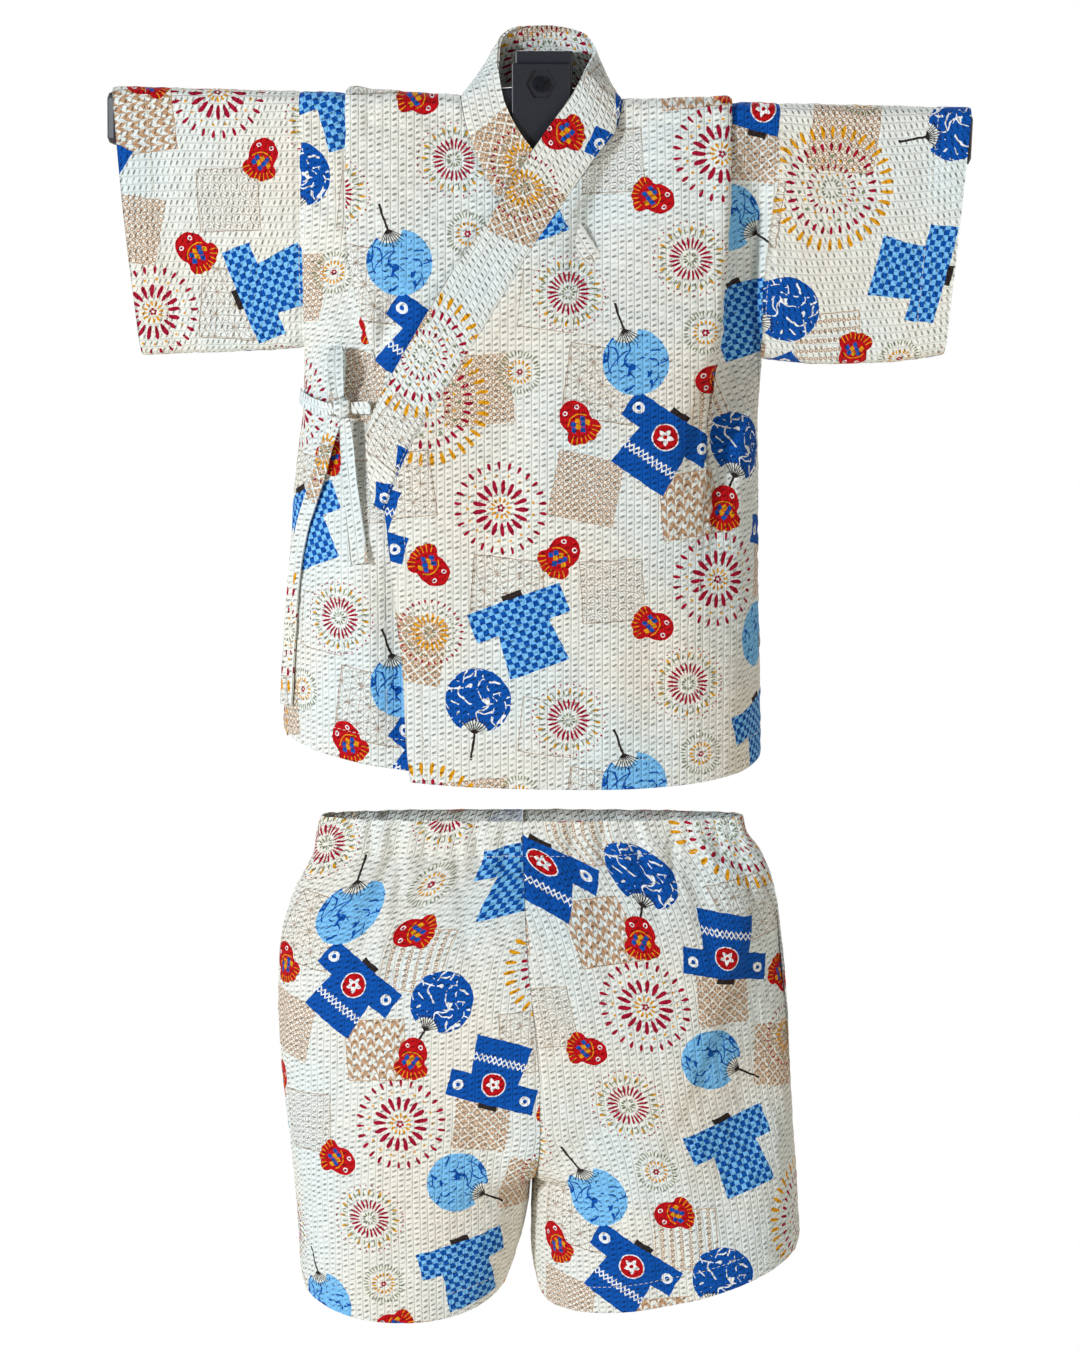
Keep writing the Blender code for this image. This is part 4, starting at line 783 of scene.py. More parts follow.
def shorts_point(table, side, face, row, column, gathers):
    """A point of a shorts panel; column runs from the middle or inside seam to the side seam."""
    inner, outer, x, y, reach = shorts_section(table, face, row)
    at, before = (
        reach[-1] * (1 - (1 - place / SHORTS_COLUMNS) ** SHORTS_CROWDING)
        for place in (column, max(column - 1, 0))
    )
    px, py = np.interp(at, reach, x), np.interp(at, reach, y)
    run, rise = heading(at, SHORTS_NEARBY, reach, x, y)
    share = (px - inner) / (outer - inner)
    inn, out = read(table, "inn", row), read(table, "out", row)
    dip = read(table, "dip", row) * (1 if face == "front" else BACK_DIP)
    drop = inn + (out - inn) * share + dip * (1 - (2 * share - 1) ** 2)
    lift = gathered(drop, column, gathers) if 0 < column < SHORTS_COLUMNS else 0.0
    px, py = px - lift * rise, py + lift * run
    gap = SEAM_GAP / 2
    if column == SHORTS_COLUMNS:
        last = np.interp(before, reach, x) - x[-1], np.interp(before, reach, y) - y[-1]
        gap += WALL / 2 * abs(last[0]) / hypot(*last)
    depth = max(py, gap) * (1 if face == "back" else -1)
    across = side * (SIDE_SEAM_AT - reach[-1] + at)
    return side * px + GARMENT_SHIFT, depth, WAIST_Z - drop, across, -drop


def shorts_grid(table, side, face):
    """A shorts panel from the waist down, running from viewer's left to right on the front."""
    gathers = GATHERS[face + ("_left" if side > 0 else "_right")]
    rows = np.linspace(0, len(table) - 1, SHORTS_FINE_ROWS)
    grid = np.array([
        [shorts_point(table, side, face, row, column, gathers)
         for column in range(SHORTS_COLUMNS + 1)]
        for row in rows
    ])
    # Worn-in cloth goes over from hip to leg gently, away from its seams.
    for column in range(1, SHORTS_COLUMNS):
        down = grid[:, column, 4]
        near = np.exp(-(((down[:, None] - down[None, :]) / LEG_SOFT) ** 2))
        share = ease(rows, *LEG_SOFT_FROM) * (1 - ease(rows, *LEG_SOFT_TO))
        share *= ease(column, *LEG_SOFT_COLUMNS)
        for part in (0, 1, 3):
            soft = near @ grid[:, column, part] / near.sum(axis=1)
            grid[:, column, part] += (soft - grid[:, column, part]) * share
    return grid


def tie_grid(points, across):
    """A stretch of tie, its width across its path, with its cloth lines."""
    table = [Stretch(index, *point) for index, point in enumerate(points)]
    steps = TIE_STEPS * (len(points) - 1)
    frames = []
    for step in range(steps + 1):
        place = (len(points) - 1) * step / steps
        reach, drop, lift, width = (read(table, name, place) for name in Stretch._fields[1:])
        here = Vector(hang(*on_body(reach, drop, lift, "front")))
        higher = Vector(hang(*on_body(reach, drop, lift + NEARBY, "front")))
        frames.append((here, ((higher - here).normalized() + TIE_FACING).normalized(), width))
    grid, along = [], 0.0
    for index, (here, out, width) in enumerate(frames):
        ahead = frames[min(index + 1, steps)][0] - frames[max(index - 1, 0)][0]
        flat = ahead - out * ahead.dot(out)
        level = out.cross(flat).normalized()
        if points[0] == TIES["tie_loop"][0]:
            level = Vector((1, 0, 0))
        if grid and level.dot(Vector(grid[-1][-1][:3]) - Vector(grid[-1][0][:3])) < 0:
            level = -level
        along += (here - frames[max(index - 1, 0)][0]).length
        grid.append([(*(here + level * width * share), width * share, -along)
                     for share in np.linspace(-0.5, 0.5, across + 1)])
    return np.array(grid)


# ---- fine cloth


def curve(keys, values, at):
    """Values at new keys on a smooth curve through the given ones, along the first axis."""
    shape = (-1,) + (1,) * (values.ndim - 1)
    steps = np.diff(keys).reshape(shape)
    slopes = np.diff(values, axis=0) / steps
    inner = slopes[:-1] * steps[1:] + slopes[1:] * steps[:-1]
    inner /= steps[:-1] + steps[1:]
    tangents = np.concatenate([slopes[:1], inner, slopes[-1:]])
    here = np.clip(np.searchsorted(keys, at, "right") - 1, 0, len(keys) - 2)
    span = steps[here]
    share = ((at - keys[here]) / np.diff(keys)[here]).reshape(shape)
    return between(values[here], values[here + 1], tangents[here] * span, tangents[here + 1] * span, share)


def along_lines(points):
    """Mean distance along a grid's first axis, from its start to each point."""
    return run_up(np.linalg.norm(np.diff(points[..., :3], axis=0), axis=2).mean(axis=1))


def refine(grid, across=FINE_ACROSS, down=FINE_DOWN):
    """The same surface with a point about every so many metres."""
    for step in (down, across):
        keys = along_lines(grid)
        count = max(round(keys[-1] / step), 4)
        grid = curve(keys, grid, np.linspace(0, keys[-1], count + 1)).swapaxes(0, 1)
    return grid


def normals_of(points, facing):
    """Unit normals of a grid, on the side that faces the front, the back or away from its middle."""
    rows, columns = np.gradient(points, axis=0), np.gradient(points, axis=1)
    out = np.cross(rows, columns)
    out /= np.linalg.norm(out, axis=2, keepdims=True) + TINY
    if facing == "round":
        side = ((points - points.mean(axis=1, keepdims=True)) * out).sum()
    else:
        side = out[..., 1].sum() * (-1 if facing == "front" else 1)
    return out if side > 0 else -out


def edge_distances(points):
    """How far each point is from the four edges: top, bottom, first column and last column."""
    found = []
    for axis in (0, 1):
        steps = np.linalg.norm(np.diff(points, axis=axis), axis=2)
        run = np.concatenate([np.zeros_like(steps.take([0], axis)), steps.cumsum(axis)], axis)
        found += [run, run.take([-1], axis) - run]
    return dict(zip(("top", "bottom", "first", "last"), found))


def crinkle(across, along, seed):
    """Uneven swelling of rippled cloth, about -1 to 1: waves of several lengths and directions."""
    picks = np.random.default_rng(seed)
    total = np.zeros_like(across)
    for long in CRINKLE_WAVES:
        turn, start, sway = picks.random(3) * (pi, 2 * pi, 2 * pi)
        line = across * cos(turn) + along * sin(turn)
        beside = along * cos(turn) - across * sin(turn)
        sideways = CRINKLE_SWAY * np.sin(beside * 2 * pi / (CRINKLE_SWAY_LONG * long) + sway)
        total += np.sin(line * 2 * pi / long + start + sideways)
    return total / sqrt(len(CRINKLE_WAVES))


def puckers(side, face):
    """The folds that the elastic draws in one panel of the shorts."""
    front = 1 if face == "front" else -1
    return tuple(
        Fold(side * p.out, WAIST_Z - p.start, side * (p.out + p.lean), WAIST_Z - p.end, p.wide, p.wide,
             p.deep, 0.0, front)
        for p in PUCKERS[side * front]
    )


def crease(points, facing, fold):
    """How much a soft trough sinks the cloth, from 0 to its depth. facing is how far it faces front."""
    x, z = points[..., 0] - fold.from_x, points[..., 2] - fold.from_z
    dx, dz = fold.to_x - fold.from_x, fold.to_z - fold.from_z
    long = hypot(dx, dz)
    share = (x * dx + z * dz) / long**2
    off = (z * dx - x * dz) / long
    off = off - fold.bow * long * share * (1 - share) * 4
    wide = np.where(off < 0, fold.before, fold.after)
    fade = ease(share, *FOLD_STARTS) * (1 - ease(share, *FOLD_ENDS))
    on_side = ease(facing * fold.side, *FOLD_FACING)
    return fold.deep * fade * on_side * np.exp(-((off / wide) ** 2))


class Sheet:
    """A piece of cloth: its fine points, its normals, its own lines and its edges."""

    def __init__(self, grid, facing, wall, hems=(), seams=(), under=(), folds=(), ripple=1.0, **step):
        fine = refine(grid, **step)
        self.points, self.across, self.along = fine[..., :3].copy(), fine[..., 3], fine[..., 4]
        self.normals = normals_of(self.points, facing)
        self.edges = edge_distances(self.points)
        self.facing, self.wall, self.cut_at = facing, wall, (0.0, 0.0)
        height = CRINKLE * ripple * crinkle(self.across, self.along, len(self.across))
        for edge, wide in hems:
            near = self.edges[edge]
            height *= 1 - HEM_PRESSED * (1 - ease(near, wide, wide + STITCH_IN))
            height += HEM_LIFT * (1 - ease(near, wide - HEM_STEP[0], wide + HEM_STEP[1]))
            height -= STITCH_SUNK * np.exp(-(((near - wide + STITCH_IN) / STITCH_WIDE) ** 2))
            height -= HEM_ROLL * (1 - ease(near, 0, HEM_ROLL_WIDE))
        for edge in seams:
            near = self.edges[edge]
            height *= SEAM_LEFT + (1 - SEAM_LEFT) * ease(near, 0.0, SEAM_PRESSED_WIDE)
            height -= SEAM_ROLL * (1 - ease(near, 0, SEAM_WIDE))
        for edge in under:
            # This edge is sewn on from beneath: it runs on a little under its neighbour.
            near = self.edges[edge]
            away = self.outwards(edge)
            self.points += away * (UNDER_LONG * (1 - ease(near, 0, SEAM_WIDE)))[..., None]
            height -= UNDER_SUNK * (1 - ease(near, 0, SEAM_WIDE))
        by_seams = np.ones_like(height)
        for edge in (*seams, *under):
            by_seams *= ease(self.edges[edge], 0.0, FOLDS_FROM_SEAM)
        # The layers of a tuck all sink alike, so that they stay apart.
        front = -self.normals[..., 1]
        if facing != "round":
            front = np.abs(front) * (1 if facing == "front" else -1)
        sunk = sum((crease(self.points, front, fold) * fold.side for fold in folds), 0.0) * by_seams
        self.points += self.normals * height[..., None]
        self.points[..., 1] += sunk
        self.normals = normals_of(self.points, facing)

    def outwards(self, edge):
        """Unit steps across an edge, away from the piece."""
        rows = {"top": (0, 1), "bottom": (-1, -2)}
        columns = {"first": (0, 1), "last": (-1, -2)}
        if edge in rows:
            here, next_in = rows[edge]
            step = (self.points[here] - self.points[next_in])[None, :, :]
        else:
            here, next_in = columns[edge]
            step = (self.points[:, here] - self.points[:, next_in])[:, None, :]
        return step / (np.linalg.norm(step, axis=2, keepdims=True) + TINY)

    def rim(self, skip):
        """Row and column numbers that the wrong side keeps."""
        keep = []
        for count in self.points.shape[:2]:
            line = list(range(0, count, skip))
            keep.append(line if line[-1] == count - 1 else line[:-1] + [count - 1])
        return keep

    def mesh(self, name, skip=SKIP, tight=()):
        """A closed wall: fine on its right side, coarser on its wrong side, joined at the edges."""
        rows, columns = self.points.shape[:2]
        keep_rows, keep_columns = self.rim(skip)
        keep_columns = sorted(set(keep_columns) | {
            column for low, high in tight for column in range(columns)
            if low < abs(self.across[:, column]).mean() < high
        })
        outer = self.points + self.normals * self.wall / 2
        inner = (self.points - self.normals * self.wall / 2)[np.ix_(keep_rows, keep_columns)]
        cloth = np.stack([self.across, self.along], axis=2)
        mirrored = (-1, 1) if self.facing == "round" else (1, 1)
        index = np.arange(rows * columns).reshape(rows, columns)
        under = rows * columns + np.arange(inner.shape[0] * inner.shape[1]).reshape(inner.shape[:2])
        turned = self.turned()
        faces = quads(index, turned) + quads(under, not turned)
        # Each edge: its fine points, the coarse ones behind them, and which fine ones those face.
        for fine, coarse, kept, flip in (
            (index[0], under[0], keep_columns, turned),
            (index[-1], under[-1], keep_columns, not turned),
            (index[:, 0], under[:, 0], keep_rows, not turned),
            (index[:, -1], under[:, -1], keep_rows, turned),
        ):
            for place, (low, high) in enumerate(zip(kept, kept[1:])):
                face = [*fine[low : high + 1], coarse[place + 1], coarse[place]]
                faces.append(face[::-1] if flip else face)
        points = np.concatenate([outer.reshape(-1, 3), inner.reshape(-1, 3)])
        behind = cloth[np.ix_(keep_rows, keep_columns)]
        flat = np.concatenate([cloth.reshape(-1, 2), behind.reshape(-1, 2)])
        mesh = new_mesh(name, points, faces, cloth=flat * mirrored, print=flat + self.cut_at)
        right = (rows - 1) * (columns - 1)
        sides = np.zeros(len(mesh.polygons), np.int32)
        sides[right : right + (len(keep_rows) - 1) * (len(keep_columns) - 1)] = 1
        mesh.polygons.foreach_set("material_index", sides)
        mesh.update()
        return mesh

    def turned(self):
        """Whether a face listed row by row looks away from the right side."""
        a, b, c = self.points[1, 1], self.points[1, 2], self.points[2, 1]
        return float(np.dot(np.cross(b - a, c - a), self.normals[1, 1])) < 0

    def flat(self):
        """Width, length and area of the cut that shows, in metres."""
        u, v = self.across, self.along
        first = (u[1:, 1:] - u[:-1, :-1]) * (v[1:, :-1] - v[:-1, 1:])
        second = (u[1:, :-1] - u[:-1, 1:]) * (v[1:, 1:] - v[:-1, :-1])
        return float(np.ptp(u)), float(np.ptp(v)), abs(float((first - second).sum() / 2))

    def line(self, edge, distance, lift):
        """Points at a distance from an edge, on the right side of the cloth, with their normals."""
        found = []
        near = self.edges[edge]
        by_rows = edge in ("first", "last")
        for place in range(near.shape[0 if by_rows else 1]):
            pick = (place, slice(None)) if by_rows else (slice(None), place)
            order = np.argsort(near[pick])
            reach = near[pick][order]
            if reach[-1] < distance:
                continue
            found.append([
                [np.interp(distance, reach, part[pick][order][:, axis]) for axis in range(3)]
                for part in (self.points, self.normals)
            ])
        found = np.array(found)
        return found[:, 0] + found[:, 1] * (self.wall / 2 + lift), found[:, 1]


def new_mesh(name, points, faces, **lines):
    """A smooth mesh, with the lines of its cloth as UV layers where it has any."""
    mesh = bpy.data.meshes.new(name)
    mesh.from_pydata(points, [], faces)
    used = np.empty(len(mesh.loops), np.int32)
    mesh.loops.foreach_get("vertex_index", used)
    for title, line in lines.items():
        mesh.uv_layers.new(name=title).uv.foreach_set("vector", line[used].ravel())
    mesh.shade_smooth()
    return mesh


def quads(index, turned):
    a, b, c, d = index[:-1, :-1], index[:-1, 1:], index[1:, 1:], index[1:, :-1]
    order = (a, d, c, b) if turned else (a, b, c, d)
    return np.stack(order, axis=2).reshape(-1, 4).tolist()


# ---- the printed pattern

# The repeat of the print and what stands in it, in millimetres and degrees. A motif's kind picks
# its colouring, size scales it, and reach is the radius of the space it takes. The functions that
# draw the motifs also work in millimetres, from each motif's middle.
REPEAT = (290.0, 270.0)
Motif = namedtuple("Motif", "x y turn kind size reach")
FIREWORKS = named(
    Motif,
    (238, 197, 15, 1, 40, 42), (135, 86, -45, 2, 31, 33), (285, 131, 9, 2, 30, 32),
    (115, 20, -153, 3, 24, 26), (38, 267, 51, 3, 24, 26), (240, 51, -35, 4, 22, 24),
    (124, 244, 81, 5, 14, 16), (7, 217, -109, 5, 14, 16),
)
COATS = named(
    Motif,
    (96, 174, 34, 1, 1, 38), (181, 253, -14, 2, 1, 38), (198, 119, -166, 1, 0.96, 38),
    (10, 55, -21, 2, 1.02, 38),
)
FANS = named(
    Motif,
    (158, 166, 28, 1, 1, 38), (79, 229, 160, 2, 1, 38), (270, 4, 7, 1, 1, 38), (179, 44, -60, 2, 1, 38),
)
FISH = named(
    Motif,
    (142, 131, 8, 1, 1, 17), (33, 102, 40, 1, 1, 17), (240, 93, 135, 1, 1, 17),
    (44, 187, -32, 1, 1, 17), (131, 214, -100, 1, 0.95, 17), (92, 58, 106, 1, 0.95, 17),
)
# The patterns of the squares are drawn for a square of this half width.
PATCH_UNIT = 22.0
PATCHES = named(
    Motif,
    (289, 77, 4, 1, 23, 34), (270, 205, -7, 3, 22, 33), (228, 40, 9, 2, 21, 32),
    (59, 211, 8, 1, 23, 34), (137, 197, 3, 4, 21, 32), (117, 135, -6, 6, 21, 32),
    (49, 145, 11, 3, 21, 32), (66, 80, -3, 5, 20, 30), (25, 262, 6, 7, 18, 27), (189, 87, 5, 2, 18, 27),
    (222, 144, -8, 1, 21, 32),
)

# Rings of strokes in each kind of firework, as shares of its radius. The second number divides a
# stroke's width at its middle, and changes by the first up to its outer end, which is fuller.
STROKE_FULLER = (-0.28, 1.15)
RING_INPUTS = ("Radius", "Turn", "Count", "At", "Half length", "Half width", "Shift")
Ring = namedtuple("Ring", "kind count at long wide ink turn")
RINGS = named(
    Ring,
    (1, 34, 0.9, 0.105, 0.036, "mustard", 0), (1, 30, 0.665, 0.07, 0.03, "crimson", 0.3),
    (1, 11, 0.52, 0.026, 0.033, "moss", 0), (1, 11, 0.46, 0.024, 0.03, "mustard", 0.5),
    (1, 22, 0.355, 0.045, 0.02, "crimson", 0), (1, 12, 0.23, 0.02, 0.022, "mustard", 0.2),
    (1, 16, 0.14, 0.028, 0.015, "moss", 0.6), (2, 26, 0.9, 0.085, 0.037, "crimson", 0.2),
    (2, 17, 0.7, 0.026, 0.033, "mustard", 0.5), (2, 17, 0.45, 0.15, 0.053, "crimson", 0.1),
    (2, 12, 0.18, 0.06, 0.027, "mustard", 0), (2, 5, 0.055, 0.03, 0.037, "crimson", 0.3),
    (3, 34, 0.96, 0.024, 0.027, "crimson", 0), (3, 16, 0.78, 0.085, 0.035, "mustard", 0.4),
    (3, 32, 0.72, 0.08, 0.022, "moss", 0.1), (3, 24, 0.42, 0.15, 0.035, "crimson", 0.2),
    (3, 12, 0.14, 0.05, 0.025, "moss", 0.5), (4, 30, 0.9, 0.06, 0.033, "crimson", 0.2),
    (4, 30, 0.7, 0.045, 0.025, "moss", 0.5), (4, 20, 0.42, 0.14, 0.04, "mustard", 0),
    (4, 9, 0.12, 0.05, 0.027, "moss", 0.3), (5, 36, 0.86, 0.125, 0.033, "moss", 0),
    (5, 17, 0.45, 0.1, 0.05, "mustard", 0.4), (5, 6, 0.1, 0.055, 0.062, "crimson", 0.2),
)


def linear(code):
    """An sRGB hex colour as linear RGBA."""
    parts = (int(code[place : place + 2], 16) / 255 for place in (1, 3, 5))
    return (*(c / 12.92 if c <= 0.04045 else ((c + 0.055) / 1.055) ** 2.4 for c in parts), 1.0)


INKS = {
    name: linear(code)
    for name, code in {
        "crimson": "#A20E30", "mustard": "#DC9A10", "moss": "#7E8B68", "blue": "#0450A8",
        "sky": "#78BDEE", "white": "#EEF1F0", "red": "#BA0A14", "taupe": "#A38B74",
        "beige": "#B78C62", "black": "#2E2624",
    }.items()
}


def add_node(tree, kind, *inputs, **settings):
    """Adds a node with its operation and settings, sets or links its inputs, and gives its output."""
    kind, *operation = kind.split()
    node = tree.nodes.new("ShaderNode" + kind)
    for word in operation:
        node.operation = word
    for name, value in settings.items():
        setattr(node, name, value)
    for socket, value in zip([socket for socket in node.inputs if socket.enabled], inputs):
        if isinstance(value, bpy.types.NodeSocket):
            tree.links.new(value, socket)
        elif value is not None:
            socket.default_value = value
    return next(socket for socket in node.outputs if socket.enabled)


def group(name, inputs, output, draw):
    """A node group with these kinds of inputs and output. draw adds the nodes between them."""
    tree = bpy.data.node_groups.new(name, "ShaderNodeTree")
    for way, sockets in (("INPUT", inputs), ("OUTPUT", {"Result": output})):
        for title, kind in sockets.items():
            tree.interface.new_socket(title, in_out=way, socket_type="NodeSocket" + kind)
    start, end = tree.nodes.new("NodeGroupInput"), tree.nodes.new("NodeGroupOutput")
    result = draw(partial(add_node, tree), *list(start.outputs)[: len(inputs)])
    tree.links.new(result, end.inputs[0])
    return tree


def stroke_ring(add, radius, turn, count, at, long, wide, shift):
    """Strokes round a circle: 1 on a stroke. Turn is the angle over a full turn."""
    place = add("Math MULTIPLY_ADD", turn, count, shift)
    side = add("Math MULTIPLY", centred(add, place), radius)
    side = add("Math DIVIDE", side, add("Math MULTIPLY", count, wide))
    side = add("Math MULTIPLY", side, 2 * pi)
    along = add("Math SUBTRACT", radius, at)
    along = add("Math DIVIDE", along, long)
    side = add("Math MULTIPLY", side, add("Math MULTIPLY_ADD", along, *STROKE_FULLER))
    square = add("Math MULTIPLY", along, along)
    square = add("Math MULTIPLY_ADD", side, side, square)
    return add("Math LESS_THAN", square, 1.0)


def local_lines(add, place, motifs):
    """Each motif's own lines where it covers the cloth, and its kind as z; elsewhere zero."""
    total = (0.0, 0.0, 0.0)
    half = (REPEAT[0] / 2, REPEAT[1] / 2, 1.0)
    for motif in motifs:
        away = add("VectorMath SUBTRACT", place, (motif.x, motif.y, 0.0))
        away = add("VectorMath WRAP", away, half, tuple(-part for part in half))
        inside = add("VectorMath LENGTH", away)
        inside = add("Math LESS_THAN", inside, motif.reach)
        scale = 1.0 / motif.size
        turned = add("Mapping", away, (0.0, 0.0, motif.kind),
                     (0.0, 0.0, radians(motif.turn)), (scale, scale, 1.0))
        total = add("VectorMath MULTIPLY_ADD", turned, inside, total)
    return total


def painted(name, draw):
    """A group that paints one sort of motif over a colour, shown where its kind isn't zero."""

    def over(add, lines, under):
        x, y, kind = add("SeparateXYZ", lines).node.outputs
        return draw(add, x, y, kind, add("Math GREATER_THAN", kind, 0.5), under)

    return group(name, {"Lines": "Vector", "Under": "Color"}, "Color", over)


def both(add, *masks):
    total = masks[0]
    for mask in masks[1:]:
        total = add("Math MULTIPLY", total, mask)
    return total


def is_kind(add, kind, number):
    return add("Math COMPARE", kind, float(number), 0.25)


def paint(add, mask, under, ink):
    ink = INKS[ink] if isinstance(ink, str) else ink
    return add("Mix", mask, under, ink, data_type="RGBA")


def polar(add, x, y):
    """Radius, and the angle over a full turn."""
    place = add("CombineXYZ", x, y)
    radius = add("VectorMath LENGTH", place)
    angle = add("Math ARCTAN2", y, x)
    return radius, add("Math MULTIPLY_ADD", angle, 1 / (2 * pi), 1.0)


def rectangle(add, x, y, middle, half):
    """1 inside a rectangle."""
    across = add("Math COMPARE", x, middle[0], half[0])
    return both(add, across, add("Math COMPARE", y, middle[1], half[1]))


def disc(add, x, y, middle, radius):
    away = add("VectorMath DISTANCE", add("CombineXYZ", x, y), (*middle, 0.0))
    return add("Math LESS_THAN", away, radius)


def centred(add, value):
    """A value's place in its cell, from -0.5 to 0.5."""
    return add("Math SUBTRACT", add("Math FRACT", value), 0.5)


def cells(add, value, wide):
    """The same for a coordinate in cells of a width."""
    return centred(add, add("Math MULTIPLY_ADD", value, 1 / wide, 0.0))


def draw_fireworks(add, x, y, kind, shown, under):
    radius, turn = polar(add, x, y)
    ring = group("ring of strokes", dict.fromkeys(RING_INPUTS, "Float"), "Float", stroke_ring)
    for row in RINGS:
        mask = add("Group", radius, turn, row.count, row.at, row.long, row.wide, row.turn, node_tree=ring)
        under = paint(add, both(add, mask, is_kind(add, kind, row.kind)), under, row.ink)
    return under


def draw_coats(add, x, y, kind, shown, under):
    """Festival coats: plain blue with a chain band, a flower on a red round and pale dots, or checked."""
    flare = add("Math MULTIPLY_ADD", y, -0.1, 17.0)
    body = add("Math LESS_THAN", add("Math ABSOLUTE", x), flare)
    body = both(add, body, add("Math COMPARE", y, -3.5, 23.5))
    shape = add("Math MAXIMUM", body, rectangle(add, x, y, (0, 10.5), (31, 9.5)))
    shape = both(add, shape, shown)
    plain, checked = is_kind(add, kind, 1), is_kind(add, kind, 2)
    under = paint(add, both(add, rectangle(add, x, y, (0, 21), (6.5, 2.6)), shown), under, "black")
    under = paint(add, shape, under, "blue")
    check = add("TexChecker", add("CombineXYZ", x, y), (1, 1, 1, 1), (0, 0, 0, 1), 1 / 3.6)
    under = paint(add, both(add, shape, checked, check), under, "sky")
    # The chain band: two zigzags that cross.
    fold = add("Math PINGPONG", x, 3.4)
    for slope, shift in ((1.5, 9.5), (-1.5, 14.6)):
        line = add("Math MULTIPLY_ADD", fold, slope, shift)
        line = add("Math ADD", y, line)
        line = add("Math COMPARE", line, 0.0, 0.75)
        under = paint(add, both(add, line, body, plain), under, "white")
    for middle, size, ink in (
        ((-24, 11), 3.7, "white"), ((-24, 11), 1.5, "blue"), ((24, 11), 3.7, "white"),
        ((24, 11), 1.5, "blue"), ((0, 5), 8.6, "white"), ((0, 5), 7.8, "red"),
    ):
        under = paint(add, both(add, disc(add, x, y, middle, size), plain), under, ink)
    radius, turn = polar(add, x, add("Math ADD", y, -5.0))
    petal = add("Math MULTIPLY_ADD", turn, 5.0, 0.25)
    petal = add("Math PINGPONG", add("Math FRACT", petal), 0.5)
    petal = add("Math MULTIPLY_ADD", petal, 5.6, 2.6)
    petal = add("Math LESS_THAN", radius, petal)
    ring = add("Math GREATER_THAN", radius, 1.3)
    return paint(add, both(add, petal, ring, plain), under, "white")


def draw_fans(add, x, y, kind, shown, under):
    """Round fans: brushed grasses on deep or light blue, bare ribs and a dark handle."""
    away = add("Math SUBTRACT", y, -18.0)
    radius, turn = polar(add, x, away)
    leaf = both(add, disc(add, x, y, (0, 4), 21.0), add("Math GREATER_THAN", radius, 9.0), shown)
    deep = is_kind(add, kind, 1)
    ground = add("Mix", deep, INKS["sky"], INKS["blue"], data_type="RGBA")
    stroke = add("Mix", deep, INKS["blue"], INKS["white"], data_type="RGBA")
    under = paint(add, leaf, under, ground)
    place = add("CombineXYZ", x, y, kind)
    for way, scale, gap, wide in (
        ((0.95, 0.3, 0.0), 0.07, 3.9, 0.55), ((0.45, -0.9, 0.0), 0.085, 5.2, 0.65),
    ):
        # Brushed blades: bent lines that stop and start.
        bent = add("TexNoise", place, scale, 1.0, 0.5)
        line = add("VectorMath DOT_PRODUCT", place, way)
        line = add("Math MULTIPLY_ADD", bent, 26.0, line)
        line = add("Math PINGPONG", line, gap)
        held = add("TexNoise", add("VectorMath ADD", place, way), 0.17, 1.0, 0.5)
        line = add("Math SUBTRACT", line, add("Math SUBTRACT", held, 0.53))
        near = both(add, add("Math LESS_THAN", line, wide), add("Math GREATER_THAN", held, 0.5))
        under = paint(add, both(add, leaf, near), under, stroke)
    spread = add("Math COMPARE", turn, 1.25, 0.16)
    rib = add("Math FRACT", add("Math MULTIPLY", turn, 30.0))
    rib = add("Math MULTIPLY", add("Math ADD", rib, -0.5), radius)
    rib = add("Math COMPARE", rib, 0.0, 1.5)
    short = add("Math LESS_THAN", radius, 11.5)
    under = paint(add, both(add, rib, spread, short, shown), under, "black")
    stick = both(add, rectangle(add, x, y, (0, -26), (0.75, 8.5)), shown)
    return paint(add, stick, under, "black")


def draw_fish(add, x, y, kind, shown, under):
    """Small round goldfish seen from above."""
    shape = disc(add, x, add("Math MULTIPLY", y, 0.88), (0, 3.0), 9.6)
    for middle, radius in (((-6.4, -7.2), 5.2), ((6.4, -7.2), 5.2), ((-2.6, -10.0), 4.4),
                           ((2.6, -10.0), 4.4), ((0, -3), 9.2)):
        shape = add("Math MAXIMUM", shape, disc(add, x, y, middle, radius))
    shape = both(add, shape, shown)
    under = paint(add, shape, under, "red")
    # Rays on the tail.
    radius, turn = polar(add, x, add("Math ADD", y, 1.0))
    rays = add("Math FRACT", add("Math MULTIPLY", turn, 24.0))
    rays = add("Math COMPARE", rays, 0.5, 0.11)
    tail = both(add, add("Math LESS_THAN", y, -6.0), add("Math GREATER_THAN", radius, 8.8))
    under = paint(add, both(add, shape, rays, tail), under, "mustard")
    # The head's edge.
    gill = add("VectorMath DISTANCE", add("CombineXYZ", x, y), (0.0, -3.6, 0.0))
    gill = both(add, add("Math COMPARE", gill, 8.0, 0.35), add("Math GREATER_THAN", y, 0.5))
    under = paint(add, both(add, shape, gill), under, "mustard")
    # Scales: blue lozenges, each with a mustard one beside it.
    for middle, ink in (((0, 0.6), "mustard"), ((-3.4, 0.2), "blue"), ((3.4, 0.2), "blue"),
                        ((-1.8, -2.8), "mustard"), ((1.8, -2.8), "blue"), ((-5.0, -3.2), "blue"),
                        ((5.0, -3.2), "mustard"), ((0, -6.0), "blue")):
        spot = add("VectorMath SUBTRACT", add("CombineXYZ", x, y), (*middle, 0.0))
        spot = add("VectorMath DOT_PRODUCT", add("VectorMath ABSOLUTE", spot), (0.9, 0.75, 0.0))
        spot = add("Math LESS_THAN", spot, 1.75)
        under = paint(add, both(add, shape, spot), under, ink)
    for across in (-4.3, 4.3):
        for size, ink in ((1.55, "white"), (0.85, "crimson")):
            under = paint(add, both(add, shape, disc(add, x, y, (across, 8.4), size)), under, ink)
    return under


